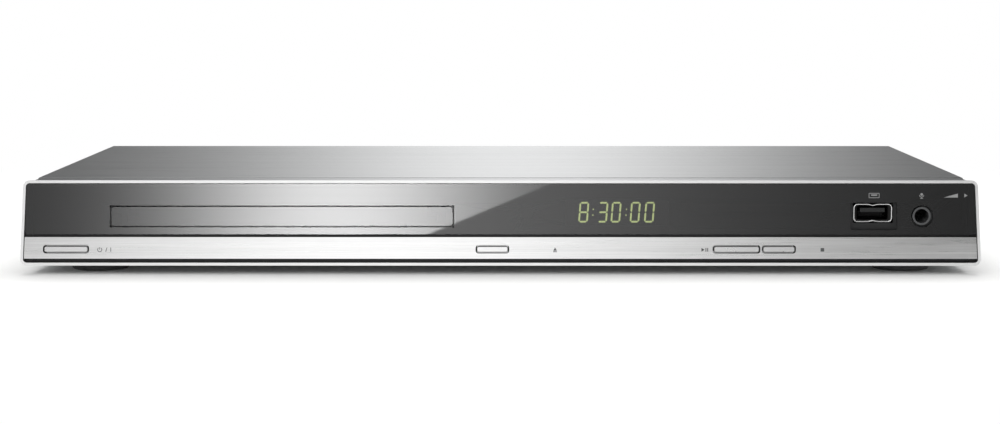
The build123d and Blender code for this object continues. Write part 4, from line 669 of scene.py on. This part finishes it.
# the port's flared lip and funnel stand in for the plain shell; the funnel's tin plate is painted dark as
# painted shade of the pocket, and the bead round its mouth is painted near white as a painted highlight
shadedTin = platedFinish("shadedTinPlate", {
    "colour": "#232323", "paler": "#2D2D2D", "cloud": 2 * mm, "depth": 0.001 * mm, "rough": (0.3, 0.42)})
highlightEdge = platedFinish("nickelEdgePaintedHighlight", {
    "colour": "#EDEDED", "paler": "#F6F6F6", "cloud": 2 * mm, "depth": 0.001 * mm, "rough": (0.16, 0.24)})
portFunnel = ringPiece("port_funnel", funnelRings(portLook), portPoint, shadedTin)
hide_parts("port_shell")
ringPiece("port_rim", beadRings(portLook), portPoint, highlightEdge)

# dark glossy sheet in the outer part of the gap round the door, set back from the front: painted shade of the
# gap, which also takes the softbox's reflection; inner and outer are how far out its two edges lie from the
# door's half width and height
gapShadeLook = {"x": -98.9, "v": 22.32, "halfWidth": 77.3, "halfHeight": 4.3, "corner": 1.2,
              "inner": 0.42, "outer": 0.7, "front": 0.8, "back": 1.2}


def gapShadePoint(x, v, depth):
    return facePoint(x + gapShadeLook["x"] * mm, v + gapShadeLook["v"] * mm, depth)


def gapShadeRings(look):
    corners = [(look["inner"], look["front"]), (look["inner"], look["back"]),
               (look["outer"], look["back"]), (look["outer"], look["front"])]
    return [(roundedLoop(look["halfWidth"] + out, look["halfHeight"] + out, look["corner"] + out), depth)
            for out, depth in corners]


# painted shade: a near-black glossy sheet stands where the door gap has only shade
gapShadeFinish = glassFinish("gapShadeGloss", {
    "colour": "#1A1B1C", "ior": 1.34, "rough": (0.05, 0.12), "clear": 0.0, "dust": 2 * mm})
gapShadeSheet = ringPiece("door_gap_shade_sheet", gapShadeRings(gapShadeLook), gapShadePoint, gapShadeFinish)
for polygon in gapShadeSheet.data.polygons:
    polygon.use_smooth = False
softboxSees.append(gapShadeSheet)
makeSoftbox(softboxLook, softboxSees)
print("port, lining and softbox made")


# closed outlines in the plane of the front, as arrays of (across, up)
def barOutline(x, v, width, height, slant=0.0):
    corners = np.array([(-1, -1), (1, -1), (1, 1), (-1, 1)]) / 2 * (width, height)
    corners[:, 0] += corners[:, 1] * slant
    return corners + (x, v)


# triangle pointing right (0), up (90), left or down
def triangleOutline(x, v, size, direction):
    angle = np.radians(direction) + np.array([0, 2, 4]) * math.pi / 3
    return np.stack([x + size * np.cos(angle), v + size * np.sin(angle)], -1)


# ribbon of constant width round an arc: out along the outer radius and back along the inner one
def arcOutline(x, v, radius, stroke, start, end, count=24):
    angle = np.radians(np.linspace(start, end, count))
    outer, inner = radius + stroke / 2, radius - stroke / 2
    out = np.stack([x + outer * np.cos(angle), v + outer * np.sin(angle)], -1)
    back = np.stack([x + inner * np.cos(angle), v + inner * np.sin(angle)], -1)[::-1]
    return np.concatenate([out, back])


# thin raised ink: each outline carried from its back to its front depth on the leaning face
def inkPiece(name, outlines, depths, material, place=facePoint):
    points, faces, offset = [], [], 0
    for outline in outlines:
        count = len(outline)
        area = np.sum(outline[:, 0] * np.roll(outline[:, 1], -1) - np.roll(outline[:, 0], -1) * outline[:, 1])
        ring = outline if area > 0 else outline[::-1]
        points += [place(ring[:, 0] * mm, ring[:, 1] * mm, depth * mm) for depth in depths]
        back, front = offset + np.arange(count), offset + count + np.arange(count)
        faces.append(tuple(back[::-1].tolist()))
        faces.append(tuple(front.tolist()))
        sides = np.stack([back, np.roll(back, -1), np.roll(front, -1), front], -1)
        faces += [tuple(side) for side in sides.tolist()]
        offset += 2 * count
    mesh = bpy.data.meshes.new(name)
    mesh.from_pydata(np.concatenate(points).tolist(), [], faces)
    mesh.update()
    piece = newObject(name, mesh, material)
    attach(piece, "base")
    return piece


# screen-printed ink: matt, with slightly uneven cover
def inkFinish(name, look):
    material, tree = newMaterial(name)
    cover = noise(tree, stepPlace(tree, look["patch"]), 2.0)
    colour = mixColours(tree, cover, toLinear(look["colour"]), toLinear(look["paler"]))
    surfaceOut(tree, addNode(tree, "BsdfPrincipled", {
        "Base Color": colour, "IOR": look["ior"],
        "Roughness": swing(tree, cover, *look["rough"])}))
    return material


greyInk = inkFinish("greyScreenInk", {
    "colour": "#4A4B4C", "paler": "#565758", "patch": 0.6 * mm, "ior": 1.5, "rough": (0.5, 0.6)})
paleInk = inkFinish("paleScreenInk", {
    "colour": "#8A8B8B", "paler": "#979797", "patch": 0.6 * mm, "ior": 1.5, "rough": (0.5, 0.6)})

stripMarks = {"v": 7.2, "depths": (0.62, 0.57), "stroke": 0.3, "height": 1.9, "triangle": 0.95, "square": 1.6,
              "standbyX": -181.6, "standbyArc": (125, 415), "slashAt": 3.0, "slashSlant": 0.3, "barAt": 5.0,
              "ejectX": 24.8, "ejectLift": 0.05, "ejectBar": (-0.9, 1.7, 0.35),
              "playX": 91.6, "pauseAt": (1.55, 2.35), "pauseWidth": 0.4, "stopX": 145.9}


def stripOutlines(look):
    v, stroke, height = look["v"], look["stroke"], look["height"]
    radius = height / 2
    x = look["standbyX"]
    # open ring with its stroke, then a slash and an upright
    standby = [arcOutline(x, v, radius, stroke, *look["standbyArc"]),
               barOutline(x, v + radius * 0.6, stroke, radius * 1.1),
               barOutline(x + look["slashAt"], v, stroke, height, look["slashSlant"]),
               barOutline(x + look["barAt"], v, stroke, height)]
    x, (under, wide, thick) = look["ejectX"], look["ejectBar"]
    eject = [triangleOutline(x, v + look["ejectLift"], look["triangle"], 90),
             barOutline(x, v + under, wide, thick)]
    x, square = look["playX"], look["square"]
    play = [triangleOutline(x, v, look["triangle"], 0)]
    play += [barOutline(x + at, v, look["pauseWidth"], square) for at in look["pauseAt"]]
    stop = [barOutline(look["stopX"], v, square, square)]
    return standby + eject + play + stop


inkPiece("strip_marks", stripOutlines(stripMarks), stripMarks["depths"], greyInk)

windowMarks = {"v": 31.8, "depths": (0.42, 0.37), "stroke": 0.28,
               "portX": 169.2, "portSize": (4.6, 2.0), "tongue": (0.2, 2.8, 0.6),
               "voiceX": 190.7, "voiceDisc": (0.5, 0.3, 0.6), "voiceCradle": (0.3, 1.0),
               "voiceStem": (-0.95, 0.6), "voiceFoot": (-1.3, 1.3),
               "levelX": 203.9, "wedge": (3.2, 0.9), "arrowX": 210.5, "arrowSize": 1.0}


def windowOutlines(look):
    v, stroke = look["v"], look["stroke"]
    # port: a frame of four bars round its tongue
    x, (wide, high) = look["portX"], look["portSize"]
    port = []
    for side in (1, -1):
        port.append(barOutline(x, v + side * high / 2, wide, stroke))
    for side in (-1, 1):
        port.append(barOutline(x + side * wide / 2, v, stroke, high))
    up, wide, high = look["tongue"]
    port.append(barOutline(x, v + up, wide, high))
    # microphone: a disc in a cradle, on a stem with a foot
    x, (stemV, stemHigh), (footV, footWide) = look["voiceX"], look["voiceStem"], look["voiceFoot"]
    (discV, discRadius, discStroke), (cradleV, cradleRadius) = look["voiceDisc"], look["voiceCradle"]
    voice = [arcOutline(x, v + discV, discRadius, discStroke, -90, 270, 20),
             arcOutline(x, v + cradleV, cradleRadius, stroke, 190, 350, 14),
             barOutline(x, v + stemV, stroke, stemHigh), barOutline(x, v + footV, footWide, stroke)]
    x, (wide, high) = look["levelX"], look["wedge"]
    wedge = np.array([(-wide, -high), (wide, -high), (wide, high)]) + (x, v)
    arrow = triangleOutline(look["arrowX"], v, look["arrowSize"], 0)
    return port + voice + [wedge, arrow]


inkPiece("window_marks", windowOutlines(windowMarks), windowMarks["depths"], paleInk)

# glowing figures on the display tube's front: seven strokes each, slanted
displayLook = {
    "tubeY": -101.05, "ink": 0.05, "foot": 22.9, "height": 9.45, "stroke": 0.8, "gap": 0.22, "slant": 0.075,
    "places": ((37.9, "8"), (46.6, "3"), (52.6, "0"), (61.3, "0"), (67.8, "0")), "width": 4.4,
    "colons": (42.15, 57.2), "dot": 0.55, "dotShares": (0.36, 0.64),
}
strokesOf = {"0": "abcdef", "3": "abcdg", "8": "abcdefg"}


# the seven strokes of a figure: a top, b and c right, d foot, e and f left, g middle; ends cut at 45 degrees
def figureOutlines(x, digit, look):
    half, edge, gap = look["width"] / 2, look["stroke"] / 2, look["gap"] / 2
    top, middle = look["height"] - edge, look["height"] / 2
    left, right = edge - half, half - edge

    def level(v):
        tip = half - edge - gap
        return np.array([(-tip, v), (-tip + edge, v - edge), (tip - edge, v - edge),
                         (tip, v), (tip - edge, v + edge), (-tip + edge, v + edge)])

    def upright(across, low, high):
        low, high = low + gap, high - gap
        return np.array([(across, low), (across + edge, low + edge), (across + edge, high - edge),
                         (across, high), (across - edge, high - edge), (across - edge, low + edge)])

    shapes = {
        "a": level(top), "g": level(middle), "d": level(edge),
        "b": upright(right, middle, top), "c": upright(right, edge, middle),
        "f": upright(left, middle, top), "e": upright(left, edge, middle),
    }
    strokes = [shapes[key] for key in strokesOf[digit]]
    # each stroke moves to its place, and sideways with its height
    outlines = []
    for stroke in strokes:
        slid = x + stroke[:, 0] + (stroke[:, 1] - middle) * look["slant"]
        outlines.append(np.stack([slid, look["foot"] + stroke[:, 1]], -1))
    return outlines


# upright plane in front of the tube instead of the leaning one
def tubePoint(x, z, depth):
    return np.stack(np.broadcast_arrays(x, displayLook["tubeY"] * mm + depth, z), axis=-1)


# phosphor: pale yellow-green glow
def phosphorFinish(name, look):
    material, tree = newMaterial(name)
    surfaceOut(tree, addNode(tree, "BsdfPrincipled", {
        "Base Color": toLinear(look["colour"]), "Roughness": 0.6,
        "Emission Color": toLinear(look["glow"]), "Emission Strength": look["strength"]}))
    return material


phosphor = phosphorFinish("litPhosphor", {"colour": "#C2C6AB", "glow": "#CAD488", "strength": 9.0})
figures = [outline for x, digit in displayLook["places"] for outline in figureOutlines(x, digit, displayLook)]
for x in displayLook["colons"]:
    for share in displayLook["dotShares"]:
        figures.append(barOutline(x + (share - 0.5) * displayLook["height"] * displayLook["slant"],
                                  displayLook["foot"] + share * displayLook["height"],
                                  displayLook["dot"], displayLook["dot"]))
inkPiece("display_figures", figures, (0.0, -displayLook["ink"]), phosphor, tubePoint)
print("marks and figures printed")
